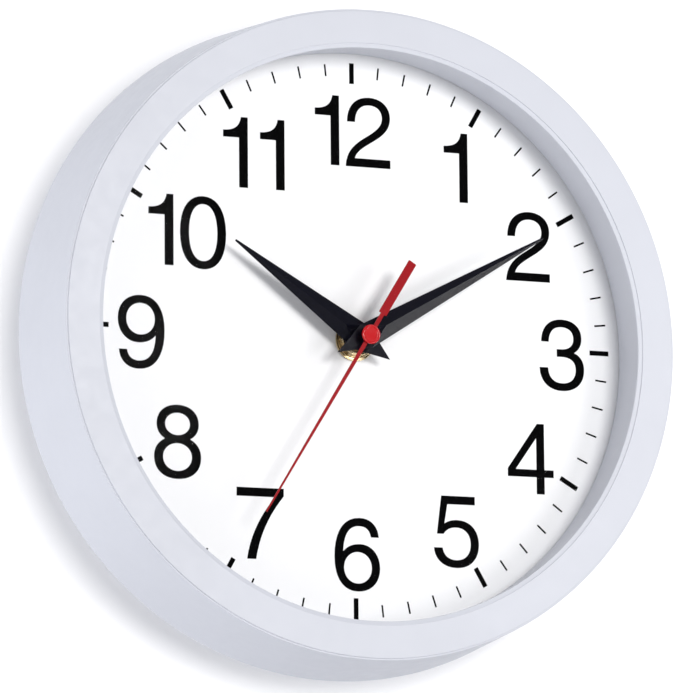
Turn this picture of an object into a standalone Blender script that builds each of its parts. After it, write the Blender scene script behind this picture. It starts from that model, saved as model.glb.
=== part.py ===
"""Round quartz wall clock: moulded case, lens, printed dial, three hands and a one-cell movement.

Every piece is drawn face on: X to the right, Y up to twelve o'clock and Z towards the viewer, with
Z = 0 in the wall plane and the hands turning about X = Y = 0. One empty turns that drawing upright
and puts the point where a wall hook carries the clock at the world's origin. Lengths are in metres.
"""

import math

import bmesh
import bpy
from mathutils import Matrix, Vector

# Clearances
GAP = 0.0003               # between pieces that touch when assembled
RUNNING = 0.00008          # radial, between a shaft and the hole it turns in

# Case
CASE_RADIUS = 0.1270       # rear edge of the skirt
SKIRT_FLARE = 0.0040       # how much the skirt widens from front to rear
STEP_WIDTH = 0.0007        # ledge between the face and the skirt
STEP_DEPTH = 0.0005
FACE_WIDTH = 0.0123        # flat front ring
FACE_THICKNESS = 0.0022
SKIRT_THICKNESS = 0.0022
EDGE_ROUND = 0.0004
LIP_SLOPE_WIDTH = 0.0016   # sloping inner edge of the face
LIP_SLOPE_DEPTH = 0.0009
LIP_THICKNESS = 0.0009
THROAT_DRAFT = 0.00045     # how much the well widens from lens to dial
THROAT_THICKNESS = 0.0016
LENS_THICKNESS = 0.0020
LENS_FIT = 0.0003          # radial, round the lens
LENS_CLEARANCE = 0.0014    # from the second hand's cap to the lens

# Dial, back plate and its screws
DIAL_THICKNESS = 0.0004
DIAL_SEAT = 0.0019         # how far the dial reaches past the well's edge
PLATE_THICKNESS = 0.0012
PLATE_CLEARANCE = 0.0012
RIB_HEIGHT = 0.0028
RIB_THICKNESS = 0.0014
RIB_CLEARANCE = 0.0044     # from the movement's corners to the inner ring rib
OUTER_RIB_RADIUS = 0.0920
RADIAL_RIBS = 6
BOSS_RADIUS = 0.0028
PILOT_RADIUS = 0.0014
PILOT_DEPTH = 0.0110
SCREWS = 6
SCREW_LENGTH = 0.0090
SCREW_RADIUS = 0.0011
SCREW_HEAD_RADIUS = 0.0030
SCREW_HEAD_HEIGHT = 0.0019
SCREW_RECESS_WIDTH = 0.0009
SCREW_RECESS_DEPTH = 0.0010
SCREW_RECESS_REACH = 0.6   # shares of the head's radius
SCREW_RECESS_TAPER = 0.8
SCREW_HEAD_FLAT = 0.65
SCREW_HEAD_EDGE = 0.4      # share of the head's height that is straight

# Movement
WALL_CLEARANCE = 0.0005    # from the wall to the movement
MOVEMENT_SIZE = 0.0560
MOVEMENT_CORNER = 0.0030
HOUSING_WALL = 0.0012
COVER_THICKNESS = 0.0010
BAY_CLEARANCE = 0.0013     # in the battery bay's height
BAY_DIVIDER = 0.0014
PLATE_POST_RADIUS = 0.0016
PLATE_POST_INSET = 0.0030
PLATE_POST_TOPS = (0.0130, 0.0060)   # the upper posts' heights above the axis, left and right
BOARD_POST_RADIUS = 0.0012
BOARD_POST_INSET = 0.0020
GEAR_PLATE_TOP = 0.0150    # above the axis
GEAR_PLATE_CORNER = 0.0020
BATTERY_RADIUS = 0.0069
NUB_RADIUS = 0.0027
NUB_LENGTH = 0.0012
CONTACT_SHEET = 0.0004
BUSHING_RADIUS = 0.0040
BUSHING_REACH = 0.0055     # above the dial
THREAD_DEPTH = 0.0003
THREAD_PITCH = 0.0010
RUBBER_THICKNESS = 0.0005
RUBBER_RADIUS = 0.0090
WASHER_THICKNESS = 0.0006
WASHER_RADIUS = 0.0079
NUT_ACROSS_FLATS = 0.0120
NUT_HEIGHT = 0.0025

# Hanger
HANGER_SHEET = 0.0006
HANGER_WIDTH = 0.0160
HANGER_TOP = 0.0470
HANGER_FOOT = 0.0090       # below the axis
HANGER_BEND = 0.0022       # above the movement
HOOK_HEIGHT = 0.0425       # where the hook bears, above the hand axis
HOOK_SLOT_WIDTH = 0.0048
HOOK_HOLE_RADIUS = 0.0048
HOOK_HOLE_DROP = 0.0068    # from the bearing point to the round hole's centre

# Gear train: teeth, arbor distances and directions (degrees, anticlockwise from +X)
MINUTE_WHEEL_TEETH = 60
THIRD_PINION_TEETH = 8
THIRD_WHEEL_TEETH = 64
SECOND_PINION_TEETH = 8
SECOND_WHEEL_TEETH = 48
INTERMEDIATE_PINION_TEETH = 8
INTERMEDIATE_WHEEL_TEETH = 40
ROTOR_PINION_TEETH = 8
CANNON_TEETH = 12
MOTION_WHEEL_TEETH = 36
MOTION_PINION_TEETH = 10
HOUR_WHEEL_TEETH = 40
KNOB_PINION_TEETH = 12
THIRD_DISTANCE = 0.0108
THIRD_DIRECTION = 150.0
INTERMEDIATE_DISTANCE = 0.0084
INTERMEDIATE_DIRECTION = 60.0
ROTOR_DISTANCE = 0.0072    # from the intermediate arbor
ROTOR_DIRECTION = 40.0
MOTION_DISTANCE = 0.0090
MOTION_DIRECTION = 200.0
KNOB_DISTANCE = 0.0090     # from the motion arbor
KNOB_DIRECTION = 185.0
RIM = 0.0010               # thickness of a toothed rim
SECOND_RIM = 0.0008
SECOND_WHEEL_HUB = 0.0010
PIPE_END = 0.0008          # how far a pipe reaches past its hand's level
BORE_END = 0.0010
ARBOR_RADIUS = 0.0004
PIVOT_DEPTH = 0.0004       # how far an arbor's end sits in its bearing
SECOND_ARBOR_RADIUS = 0.0005
MINUTE_PIPE_RADIUS = 0.0016
HOUR_PIPE_RADIUS = 0.00255
MAGNET_RADIUS = 0.0030
MAGNET_CLEARANCE = 0.0005  # to the stator
MAGNET_REACH = (0.0012, 0.0013)   # behind and in front of the stator's middle
KNOB_RADIUS = 0.0048
KNOB_HEIGHT = 0.0024
KNOB_SHAFT_RADIUS = 0.0012
KNOB_GRIPS = 10
# Shares of a grip's pitch and of the radius
GRIP_SHAPE = ((0.0, 1.0), (0.5, 1.0), (0.65, 0.9), (0.85, 0.9))

# Levels inside the movement, up from the inside of the housing's back wall
LEVEL_INTERMEDIATE = 0.0015
LEVEL_SECOND = 0.0033
LEVEL_STATOR = 0.0045
LEVEL_THIRD = 0.0057
LEVEL_GEAR_PLATE = 0.00705
LEVEL_MINUTE = 0.0081
LEVEL_MOTION = 0.0098
LEVEL_HOUR = 0.0113
GEAR_PLATE_THICKNESS = 0.0006
STATOR_THICKNESS = 0.0009

# Coil and electronics
COIL_OFFSET = 0.0106       # from the rotor up to the coil
COIL_SPAN = 0.0280
COIL_CORE_THICKNESS = 0.0010
COIL_CORE_WIDTH = 0.0030
STATOR_LEG = 0.0048
STATOR_LOW = 0.0030        # from the rotor down to the stator's foot
STATOR_RING = 0.0021       # iron round the rotor
STATOR_YOKE = 0.0050       # from the rotor up to the opening between the legs
WINDING_INSET = 0.0005
BOBBIN_RADIUS = 0.0040
BOBBIN_TUBE_RADIUS = 0.0024
BOBBIN_LENGTH = 0.0180
BOBBIN_FLANGE = 0.0008
BOARD_SIZE = (0.0190, 0.0098)
BOARD_CENTRE = (-0.0167, 0.0212)
BOARD_THICKNESS = 0.0008
CHIP_PLACE = (0.22, -0.10)        # shares of the board's size
CRYSTAL_PLACE = (-0.38, 0.22)
CHIP_DOME = ((0.5, 0.92), (0.85, 0.6))   # shares of the chip's radius and height
CHIP_RADIUS = 0.0024
CHIP_HEIGHT = 0.0010
CRYSTAL_RADIUS = 0.0010
CRYSTAL_LENGTH = 0.0060

# Hands: lengths from the axis, heights, directions clockwise from twelve
HOUR_REACH = 0.0613
HOUR_TAIL = 0.0138
HOUR_HALF_WIDTH = 0.0055
HOUR_RISE = 0.0020         # from the bushing's end
HOUR_DIRECTION = 304.0
MINUTE_REACH = 0.0845
MINUTE_TAIL = 0.0138
MINUTE_HALF_WIDTH = 0.0049
MINUTE_RISE = 0.0047       # from the hour hand
MINUTE_DIRECTION = 60.3
HAND_SHEET = 0.0003
HAND_RIDGE = 0.0010
HAND_TIP_HALF_WIDTH = 0.0004
RIDGE_START = 0.0055
RIDGE_RISE = 0.0030
HAND_HUB_WALL = 0.0013
HAND_HUB_HEIGHT = 0.0012
SECOND_REACH = 0.0805
SECOND_TAIL = 0.0335
SECOND_RISE = 0.0031       # from the minute hand
SECOND_DIRECTION = 211.7
SECOND_SHEET = 0.0004
SECOND_HALF_WIDTH = 0.0008
SECOND_TIP_HALF_WIDTH = 0.0003
SECOND_HUB_RADIUS = 0.0024
WEIGHT_START = 0.0096
WEIGHT_HALF_WIDTH = 0.0017
CAP_RADIUS = 0.00365
CAP_HEIGHT = 0.0009
CAP_RIM_HEIGHT = 0.25      # shares of the cap's height and radius
CAP_DISH = 0.80
CAP_CREST = 0.86

# Fineness of round shapes, in sides
CASE_SIDES = 64
PLATE_SIDES = 48
PART_SIDES = 28
SMALL_SIDES = 12
HUB_SIDES = 24
COIL_SIDES = 20

# Levels worked out from the wall forwards
HOUSING_BACK = WALL_CLEARANCE
TRAIN_HEIGHT = HOUSING_WALL + LEVEL_HOUR + RIM + GAP
HOUSING_FRONT = HOUSING_BACK + max(2 * BATTERY_RADIUS, TRAIN_HEIGHT)
CHAMBER_FLOOR = HOUSING_BACK + HOUSING_WALL
COVER_BACK = HOUSING_FRONT + GAP
COVER_FRONT = COVER_BACK + COVER_THICKNESS
HANGER_BACK = COVER_FRONT + GAP
RUBBER_BACK = HANGER_BACK + HANGER_SHEET + GAP
PLATE_BACK = RUBBER_BACK + RUBBER_THICKNESS + GAP
PLATE_FRONT = PLATE_BACK + PLATE_THICKNESS
DIAL_BACK = PLATE_FRONT + GAP
DIAL_FRONT = DIAL_BACK + DIAL_THICKNESS
WELL_BACK = DIAL_FRONT + GAP
WASHER_BACK = DIAL_FRONT + GAP
NUT_BACK = WASHER_BACK + WASHER_THICKNESS + GAP
BUSHING_FRONT = DIAL_FRONT + BUSHING_REACH
HOUR_LEVEL = BUSHING_FRONT + HOUR_RISE
MINUTE_LEVEL = HOUR_LEVEL + MINUTE_RISE
SECOND_LEVEL = MINUTE_LEVEL + SECOND_RISE
SECOND_FRONT = SECOND_LEVEL + SECOND_SHEET
CAP_BACK = SECOND_FRONT + GAP
CAP_FRONT = CAP_BACK + CAP_HEIGHT
LENS_BACK = CAP_FRONT + LENS_CLEARANCE
LENS_FRONT = LENS_BACK + LENS_THICKNESS
LIP_BACK = LENS_FRONT + GAP
LIP_FRONT = LIP_BACK + LIP_THICKNESS
CASE_DEPTH = LIP_FRONT + LIP_SLOPE_DEPTH

# Radii worked out from the case's
SKIRT_FRONT_RADIUS = CASE_RADIUS - SKIRT_FLARE
FACE_OUTER = SKIRT_FRONT_RADIUS - STEP_WIDTH
FACE_INNER = FACE_OUTER - FACE_WIDTH
LIP_RADIUS = FACE_INNER - LIP_SLOPE_WIDTH
THROAT_BACK_RADIUS = FACE_INNER + THROAT_DRAFT
LENS_RADIUS = FACE_INNER - LENS_FIT
DIAL_RADIUS = THROAT_BACK_RADIUS + DIAL_SEAT
FACE_BACK = CASE_DEPTH - FACE_THICKNESS
SKIRT_SLOPE = SKIRT_FLARE / CASE_DEPTH
PLATE_RADIUS = CASE_RADIUS - SKIRT_THICKNESS - SKIRT_SLOPE * PLATE_FRONT - PLATE_CLEARANCE
BOSS_CIRCLE = (DIAL_RADIUS + PLATE_RADIUS) / 2

# Inside the movement
HALF_MOVEMENT = MOVEMENT_SIZE / 2
HALF_INSIDE = HALF_MOVEMENT - HOUSING_WALL
BATTERY_LENGTH = 2 * (HALF_INSIDE - 2 * GAP - CONTACT_SHEET - NUB_LENGTH)
INNER_RIB_RADIUS = HALF_MOVEMENT * math.sqrt(2) + RIB_CLEARANCE
BAY_HEIGHT = 2 * BATTERY_RADIUS + BAY_CLEARANCE
BAY_TOP = -HALF_INSIDE + BAY_HEIGHT
CHAMBER_BOTTOM = BAY_TOP + BAY_DIVIDER
BATTERY_LEVEL = HOUSING_BACK + BATTERY_RADIUS
BATTERY_Y = -HALF_INSIDE + BAY_HEIGHT / 2
REAR_PIVOT = CHAMBER_FLOOR - PIVOT_DEPTH
FRONT_PIVOT = COVER_BACK + PIVOT_DEPTH
GEAR_PLATE_BACK = CHAMBER_FLOOR + LEVEL_GEAR_PLATE
GEAR_PLATE_FRONT = GEAR_PLATE_BACK + GEAR_PLATE_THICKNESS

AXES_NAME = "clock_axes"
COLLECTION = "wall_clock"
CUTTERS = "wall_clock_cutters"


# ---------------------------------------------------------------- scene and small helpers

def empty_scene():
    """Remove what is there and add the collections and the empty that turns the drawing upright."""
    for thing in list(bpy.data.objects):
        bpy.data.objects.remove(thing, do_unlink=True)
    for name in (COLLECTION, CUTTERS):
        bpy.context.scene.collection.children.link(bpy.data.collections.new(name))
    axes = bpy.data.objects.new(AXES_NAME, None)
    axes.rotation_euler = (math.radians(90), 0, 0)
    axes.location = (0, 0, -HOOK_HEIGHT)
    bpy.data.collections[COLLECTION].objects.link(axes)


def material(name, colour, roughness, metallic=0.0):
    """A Principled material."""
    made = bpy.data.materials.new(name)
    made.use_nodes = True
    shader = made.node_tree.nodes["Principled BSDF"]
    shader.inputs["Base Color"].default_value = (*colour, 1)
    shader.inputs["Roughness"].default_value = roughness
    shader.inputs["Metallic"].default_value = metallic
    return made


def polar(distance, degrees, start=(0.0, 0.0)):
    """The point at a distance and direction (anticlockwise from +X) from a start."""
    angle = math.radians(degrees)
    return (start[0] + distance * math.cos(angle), start[1] + distance * math.sin(angle))


def place(name, data, look=None, location=(0, 0, 0), turn=0.0, collection=COLLECTION):
    """A new object in the drawing, turned anticlockwise about its own Z."""
    thing = bpy.data.objects.new(name, data)
    if look is not None and not data.materials:
        data.materials.append(look)
    bpy.data.collections[collection].objects.link(thing)
    thing.parent = bpy.data.objects[AXES_NAME]
    thing.location = location
    thing.rotation_euler = (0, 0, turn)
    return thing


def tool(thing):
    """Mark an object as one that only cuts or adds to others."""
    thing.hide_render = True
    thing.display_type = "WIRE"
    return thing


def combine(thing, other, operation):
    """Cut or join with an exact Boolean."""
    step = thing.modifiers.new(operation.title(), "BOOLEAN")
    step.operation = operation
    step.solver = "EXACT"
    step.object = other


def cut(thing, other):
    combine(thing, other, "DIFFERENCE")


def join(thing, other):
    combine(thing, other, "UNION")


def finish_mesh(mesh, angle=35.0):
    """Smooth shading with sharp edges where faces meet at more than the angle."""
    mesh.shade_smooth()
    mesh.set_sharp_from_angle(angle=math.radians(angle))


# ---------------------------------------------------------------- shapes

def cylinder_mesh(name, radius, low, high, sides=SMALL_SIDES):
    """A cylinder along Z between two levels."""
    shape = bmesh.new()
    middle = Matrix.Translation((0, 0, (low + high) / 2))
    bmesh.ops.create_cone(
        shape, cap_ends=True, segments=sides, radius1=radius, radius2=radius,
        depth=high - low, matrix=middle)
    mesh = bpy.data.meshes.new(name)
    shape.to_mesh(mesh)
    shape.free()
    finish_mesh(mesh)
    return mesh


def box_mesh(name, low, high):
    """A box between two corners."""
    shape = bmesh.new()
    size = [b - a for a, b in zip(low, high)]
    centre = [(a + b) / 2 for a, b in zip(low, high)]
    bmesh.ops.create_cube(shape, size=1, matrix=Matrix.LocRotScale(Vector(centre), None, Vector(size)))
    mesh = bpy.data.meshes.new(name)
    shape.to_mesh(mesh)
    shape.free()
    return mesh


def cylinder_tool(name, radius, low, high, centre=(0.0, 0.0), sides=SMALL_SIDES):
    mesh = cylinder_mesh(name, radius, low, high, sides)
    return tool(place(name, mesh, location=(*centre, 0), collection=CUTTERS))


def box_tool(name, low, high, turn=0.0):
    return tool(place(name, box_mesh(name, low, high), turn=turn, collection=CUTTERS))


def profile_mesh(name, points, closed):
    """An outline in the X-Z plane, as edges."""
    mesh = bpy.data.meshes.new(name)
    count = len(points)
    edges = [(i, i + 1) for i in range(count - 1)]
    if closed:
        edges.append((count - 1, 0))
    mesh.from_pydata([(r, 0, z) for r, z in points], edges, [])
    return mesh


def turned(name, points, look=None, closed=False, sides=PART_SIDES, collection=COLLECTION,
           location=(0, 0, 0)):
    """A turned solid: a profile of (radius, level) points, outer side top to bottom, swept about Z."""
    thing = place(name, profile_mesh(name, points, closed), look, location, collection=collection)
    sweep = thing.modifiers.new("Turn", "SCREW")
    sweep.axis = "Z"
    sweep.angle = math.tau
    sweep.steps = sides
    sweep.render_steps = sides
    sweep.use_merge_vertices = True
    sweep.merge_threshold = 0.00001
    sweep.use_smooth_shade = False
    return thing


def ring(name, outer, inner, low, high, look=None, sides=PART_SIDES, location=(0, 0, 0),
         collection=COLLECTION):
    """A plain turned ring."""
    points = [(inner, high), (outer, high), (outer, low), (inner, low)]
    return turned(name, points, look, True, sides, collection, location)


def flat_mesh(name, outlines, low, high):
    """A mesh of constant thickness from closed outlines, the later ones being holes."""
    curve = bpy.data.curves.new(name, "CURVE")
    curve.dimensions = "2D"
    curve.fill_mode = "BOTH"
    curve.extrude = (high - low) / 2
    for outline in outlines:
        spline = curve.splines.new("POLY")
        spline.points.add(len(outline) - 1)
        for point, (x, y) in zip(spline.points, outline):
            point.co = (x, y, 0, 1)
        spline.use_cyclic_u = True
    guide = bpy.data.objects.new(name, curve)
    bpy.context.scene.collection.objects.link(guide)
    ready = guide.evaluated_get(bpy.context.evaluated_depsgraph_get())
    mesh = bpy.data.meshes.new_from_object(ready)
    bpy.data.objects.remove(guide)
    shape = bmesh.new()
    shape.from_mesh(mesh)
    bmesh.ops.remove_doubles(shape, verts=shape.verts, dist=0.000001)
    bmesh.ops.translate(shape, verts=shape.verts, vec=(0, 0, (low + high) / 2))
    bmesh.ops.recalc_face_normals(shape, faces=shape.faces)
    shape.to_mesh(mesh)
    shape.free()
    finish_mesh(mesh)
    return mesh


def arc(radius, first, last, steps, centre=(0.0, 0.0)):
    """Points along an arc, angles in degrees."""
    return [polar(radius, first + (last - first) * i / steps, centre) for i in range(steps + 1)]


def circle(radius, sides=SMALL_SIDES, centre=(0.0, 0.0)):
    return arc(radius, 0, 360, sides, centre)[:-1]


def rounded_rectangle(low, high, radius, steps=4):
    """A rectangle with round corners, anticlockwise."""
    (x0, y0), (x1, y1) = low, high
    corners = [(x1 - radius, y0 + radius, -90), (x1 - radius, y1 - radius, 0),
               (x0 + radius, y1 - radius, 90), (x0 + radius, y0 + radius, 180)]
    points = []
    for x, y, start in corners:
        points += arc(radius, start, start + 90, steps, (x, y))
    return points


# ---------------------------------------------------------------- gears

# Tooth proportions: heights in modules, half widths as shares of the tooth pitch
WHEEL_TOOTH = {"addendum": 0.80, "dedendum": 1.25, "root": 0.31, "tip": 0.13}
PINION_TOOTH = {"addendum": 0.90, "dedendum": 1.15, "root": 0.22, "tip": 0.10}


def module_of(distance, teeth_a, teeth_b):
    """The tooth module of two gears that mesh at an arbor distance."""
    return 2 * distance / (teeth_a + teeth_b)


def meshed_phase(direction, phase, teeth, other_teeth):
    """The phase of a gear that meshes with another one, in the given direction (radians) from it."""
    return direction + math.pi + math.pi / other_teeth + (direction - phase) * teeth / other_teeth


def gear_outline(teeth, module, tooth, phase):
    """Straight-flanked teeth round a circle, one tooth centred on the phase angle."""
    radius = teeth * module / 2
    root = radius - tooth["dedendum"] * module
    tip = radius + tooth["addendum"] * module
    pitch = math.tau / teeth
    points = []
    for k in range(teeth):
        middle = phase + k * pitch
        corners = [(root, -tooth["root"]), (tip, -tooth["tip"]), (tip, tooth["tip"]), (root, tooth["root"])]
        for r, share in corners:
            angle = middle + share * pitch
            points.append((r * math.cos(angle), r * math.sin(angle)))
    return points


def gear_mesh(name, teeth, module, tooth, phase, low, high, bore=0.0, bore_sides=SMALL_SIDES):
    outlines = [gear_outline(teeth, module, tooth, phase)]
    if bore:
        outlines.append(circle(bore, bore_sides))
    return flat_mesh(name, outlines, low, high)


def gear_tool(name, location, *shape):
    return tool(place(name, gear_mesh(name, *shape), location=(*location, 0), collection=CUTTERS))


THIRD_ARBOR = polar(THIRD_DISTANCE, THIRD_DIRECTION)
INTERMEDIATE_ARBOR = polar(INTERMEDIATE_DISTANCE, INTERMEDIATE_DIRECTION)
ROTOR_ARBOR = polar(ROTOR_DISTANCE, ROTOR_DIRECTION, INTERMEDIATE_ARBOR)
MOTION_ARBOR = polar(MOTION_DISTANCE, MOTION_DIRECTION)
KNOB_ARBOR = polar(KNOB_DISTANCE, KNOB_DIRECTION, MOTION_ARBOR)

MINUTE_MODULE = module_of(THIRD_DISTANCE, MINUTE_WHEEL_TEETH, THIRD_PINION_TEETH)
THIRD_MODULE = module_of(THIRD_DISTANCE, THIRD_WHEEL_TEETH, SECOND_PINION_TEETH)
SECOND_MODULE = module_of(INTERMEDIATE_DISTANCE, SECOND_WHEEL_TEETH, INTERMEDIATE_PINION_TEETH)
ROTOR_MODULE = module_of(ROTOR_DISTANCE, INTERMEDIATE_WHEEL_TEETH, ROTOR_PINION_TEETH)
CANNON_MODULE = module_of(MOTION_DISTANCE, CANNON_TEETH, MOTION_WHEEL_TEETH)
HOUR_MODULE = module_of(MOTION_DISTANCE, MOTION_PINION_TEETH, HOUR_WHEEL_TEETH)
KNOB_MODULE = module_of(KNOB_DISTANCE, KNOB_PINION_TEETH, MOTION_WHEEL_TEETH)

THIRD_ANGLE = math.radians(THIRD_DIRECTION)
INTERMEDIATE_ANGLE = math.radians(INTERMEDIATE_DIRECTION)
ROTOR_ANGLE = math.radians(ROTOR_DIRECTION)
MOTION_ANGLE = math.radians(MOTION_DIRECTION)
KNOB_ANGLE = math.radians(KNOB_DIRECTION)
MOTION_PHASE = meshed_phase(MOTION_ANGLE, MOTION_ANGLE, CANNON_TEETH, MOTION_WHEEL_TEETH)


# ---------------------------------------------------------------- case

def make_bezel(look):
    """The moulded front ring, its well and its skirt in one piece, with a boss for each screw."""
    rear = CASE_RADIUS - SKIRT_THICKNESS
    front = SKIRT_FRONT_RADIUS - SKIRT_THICKNESS
    throat_top = FACE_INNER + THROAT_THICKNESS + THROAT_DRAFT
    points = [
        (FACE_INNER, CASE_DEPTH),
        (FACE_OUTER - EDGE_ROUND, CASE_DEPTH),
        (FACE_OUTER, CASE_DEPTH - EDGE_ROUND),
        (FACE_OUTER, CASE_DEPTH - EDGE_ROUND - STEP_DEPTH),
        (SKIRT_FRONT_RADIUS - EDGE_ROUND / 2, CASE_DEPTH - EDGE_ROUND - STEP_DEPTH),
        (SKIRT_FRONT_RADIUS + EDGE_ROUND / 4, CASE_DEPTH - 2 * EDGE_ROUND - STEP_DEPTH),
        (CASE_RADIUS, EDGE_ROUND),
        (CASE_RADIUS - EDGE_ROUND, 0),
        (rear, 0),
        (front, FACE_BACK),
        (throat_top, FACE_BACK),
        (THROAT_BACK_RADIUS + THROAT_THICKNESS, WELL_BACK),
        (THROAT_BACK_RADIUS, WELL_BACK),
        (FACE_INNER, LIP_BACK),
        (LIP_RADIUS, LIP_BACK),
        (LIP_RADIUS, LIP_FRONT),
    ]
    bezel = turned("front_bezel", points, look, True, CASE_SIDES)
    for k in range(SCREWS):
        spot = polar(BOSS_CIRCLE, 90 + 360 * (k + 0.5) / SCREWS)
        low = PLATE_FRONT + GAP
        boss = cylinder_tool(f"boss_{k}", BOSS_RADIUS, low, CASE_DEPTH - FACE_THICKNESS / 2, spot)
        join(bezel, boss)
        pilot = cylinder_tool(f"pilot_{k}", PILOT_RADIUS, low - GAP, low + PILOT_DEPTH, spot, 12)
        cut(bezel, pilot)


def make_lens(look):
    points = [(0, LENS_FRONT), (LENS_RADIUS, LENS_FRONT), (LENS_RADIUS, LENS_BACK), (0, LENS_BACK)]
    turned("lens", points, look, False, CASE_SIDES)


def make_dial(look):
    ring("dial", DIAL_RADIUS, BUSHING_RADIUS + GAP, DIAL_BACK, DIAL_FRONT, look, PLATE_SIDES)


def make_back_plate(look):
    """A thin ribbed disc that carries the dial in front and the movement behind."""
    hole = BUSHING_RADIUS + GAP
    points = [(hole, PLATE_FRONT), (PLATE_RADIUS, PLATE_FRONT), (PLATE_RADIUS, PLATE_BACK)]
    for radius in (OUTER_RIB_RADIUS, INNER_RIB_RADIUS):
        points += [
            (radius + RIB_THICKNESS / 2, PLATE_BACK),
            (radius + RIB_THICKNESS / 2, PLATE_BACK - RIB_HEIGHT),
            (radius - RIB_THICKNESS / 2, PLATE_BACK - RIB_HEIGHT),
            (radius - RIB_THICKNESS / 2, PLATE_BACK),
        ]
    points.append((hole, PLATE_BACK))
    plate = turned("back_plate", points, look, True, PLATE_SIDES)
    for k in range(RADIAL_RIBS):
        rib = box_tool(
            f"radial_rib_{k}",
            (INNER_RIB_RADIUS, -RIB_THICKNESS / 2, PLATE_BACK - RIB_HEIGHT + RIB_THICKNESS / 2),
            (OUTER_RIB_RADIUS, RIB_THICKNESS / 2, (PLATE_BACK + PLATE_FRONT) / 2),
            math.radians(360 * k / RADIAL_RIBS))
        join(plate, rib)
    for k in range(SCREWS):
        spot = polar(BOSS_CIRCLE, 90 + 360 * (k + 0.5) / SCREWS)
        cut(plate, cylinder_tool(f"plate_hole_{k}", SCREW_RADIUS + GAP, PLATE_BACK - GAP,
                                 PLATE_FRONT + GAP, spot))


def make_screws(look):
    """Self-tapping pan-head screws from the rear, heads towards the wall."""
    head_front = PLATE_BACK - GAP
    head_back = head_front - SCREW_HEAD_HEIGHT
    tip = head_front + SCREW_LENGTH
    points = [
        (0, tip),
        (SCREW_RADIUS, tip - 2 * SCREW_RADIUS),
        (SCREW_RADIUS, head_front),
        (SCREW_HEAD_RADIUS, head_front),
        (SCREW_HEAD_RADIUS, head_front - SCREW_HEAD_HEIGHT * SCREW_HEAD_EDGE),
        (SCREW_HEAD_RADIUS * SCREW_HEAD_FLAT, head_back),
        (0, head_back),
    ]
    half = SCREW_RECESS_WIDTH / 2
    narrow = half * SCREW_RECESS_TAPER
    reach = SCREW_HEAD_RADIUS * SCREW_RECESS_REACH
    cross = []
    for quarter in range(4):
        turn = Matrix.Rotation(math.radians(90 * quarter), 2)
        cross += [turn @ Vector(corner) for corner in ((reach, -narrow), (reach, narrow), (half, half))]
    recess = flat_mesh("screw_recess", [cross], head_back - SCREW_RECESS_DEPTH,
                       head_back + SCREW_RECESS_DEPTH)
    for k in range(SCREWS):
        spot = (*polar(BOSS_CIRCLE, 90 + 360 * (k + 0.5) / SCREWS), 0)
        screw = turned(f"back_screw_{k + 1}", points, look, False, SMALL_SIDES, location=spot)
        cut(screw, tool(place(f"screw_recess_{k}", recess, location=spot, collection=CUTTERS)))


# ---------------------------------------------------------------- movement shell

def make_housing(look):
    """The movement's rear moulding: gear chamber open in front, battery bay open front and rear."""
    half = HALF_MOVEMENT
    outline = rounded_rectangle((-half, -half), (half, half), MOVEMENT_CORNER)
    mesh = flat_mesh("movement_housing", [outline], HOUSING_BACK, HOUSING_FRONT)
    housing = place("movement_housing", mesh, look)
    inside = HALF_INSIDE
    beyond = 2 * GAP
    cut(housing, box_tool(
        "gear_chamber", (-inside, CHAMBER_BOTTOM, CHAMBER_FLOOR), (inside, inside, HOUSING_FRONT + beyond)))
    cut(housing, box_tool(
        "battery_bay", (-inside, -inside, HOUSING_BACK - beyond), (inside, BAY_TOP, HOUSING_FRONT + beyond)))
    recess = KNOB_RADIUS + 2 * GAP
    collar = cylinder_tool("knob_collar", recess + HOUSING_WALL, HOUSING_BACK + GAP,
                           HOUSING_BACK + KNOB_HEIGHT + GAP + HOUSING_WALL, KNOB_ARBOR, PART_SIDES)
    join(housing, collar)
    cut(housing, cylinder_tool("knob_recess", recess, HOUSING_BACK - beyond,
                               HOUSING_BACK + KNOB_HEIGHT + GAP, KNOB_ARBOR, PART_SIDES))
    cut(housing, cylinder_tool("knob_bearing", KNOB_SHAFT_RADIUS + RUNNING, HOUSING_BACK,
                               CHAMBER_FLOOR + KNOB_HEIGHT + HOUSING_WALL, KNOB_ARBOR, PART_SIDES))
    for k, (x, y) in enumerate(plate_posts()):
        join(housing, cylinder_tool(f"plate_post_{k}", PLATE_POST_RADIUS, CHAMBER_FLOOR - HOUSING_WALL / 2,
                                    GEAR_PLATE_BACK - GAP, (x, y)))
    for k, (x, y) in enumerate(board_posts()):
        join(housing, cylinder_tool(f"board_post_{k}", BOARD_POST_RADIUS, CHAMBER_FLOOR - HOUSING_WALL / 2,
                                    GEAR_PLATE_FRONT, (x, y)))
    bearings = {
        "second": (0.0, 0.0), "third": THIRD_ARBOR, "intermediate": INTERMEDIATE_ARBOR,
        "rotor": ROTOR_ARBOR,
    }
    for name, spot in bearings.items():
        radius = SECOND_ARBOR_RADIUS if name == "second" else ARBOR_RADIUS
        cut(housing, cylinder_tool(f"rear_bearing_{name}", radius + RUNNING, REAR_PIVOT - GAP / 2,
                                   CHAMBER_FLOOR + GAP, spot, PART_SIDES))


def plate_posts():
    """Where the gear plate rests on the housing."""
    side = HALF_INSIDE - PLATE_POST_INSET
    low = CHAMBER_BOTTOM + PLATE_POST_INSET
    left_top, right_top = PLATE_POST_TOPS
    return [(-side, low), (side, low), (-side, left_top), (side, right_top)]


def board_posts():
    """Where the circuit board rests on the housing."""
    (width, height), (x, y) = BOARD_SIZE, BOARD_CENTRE
    reach = width / 2 - BOARD_POST_INSET
    return [(x - reach, y), (x + reach, y + height / 2 - BOARD_POST_INSET)]


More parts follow.
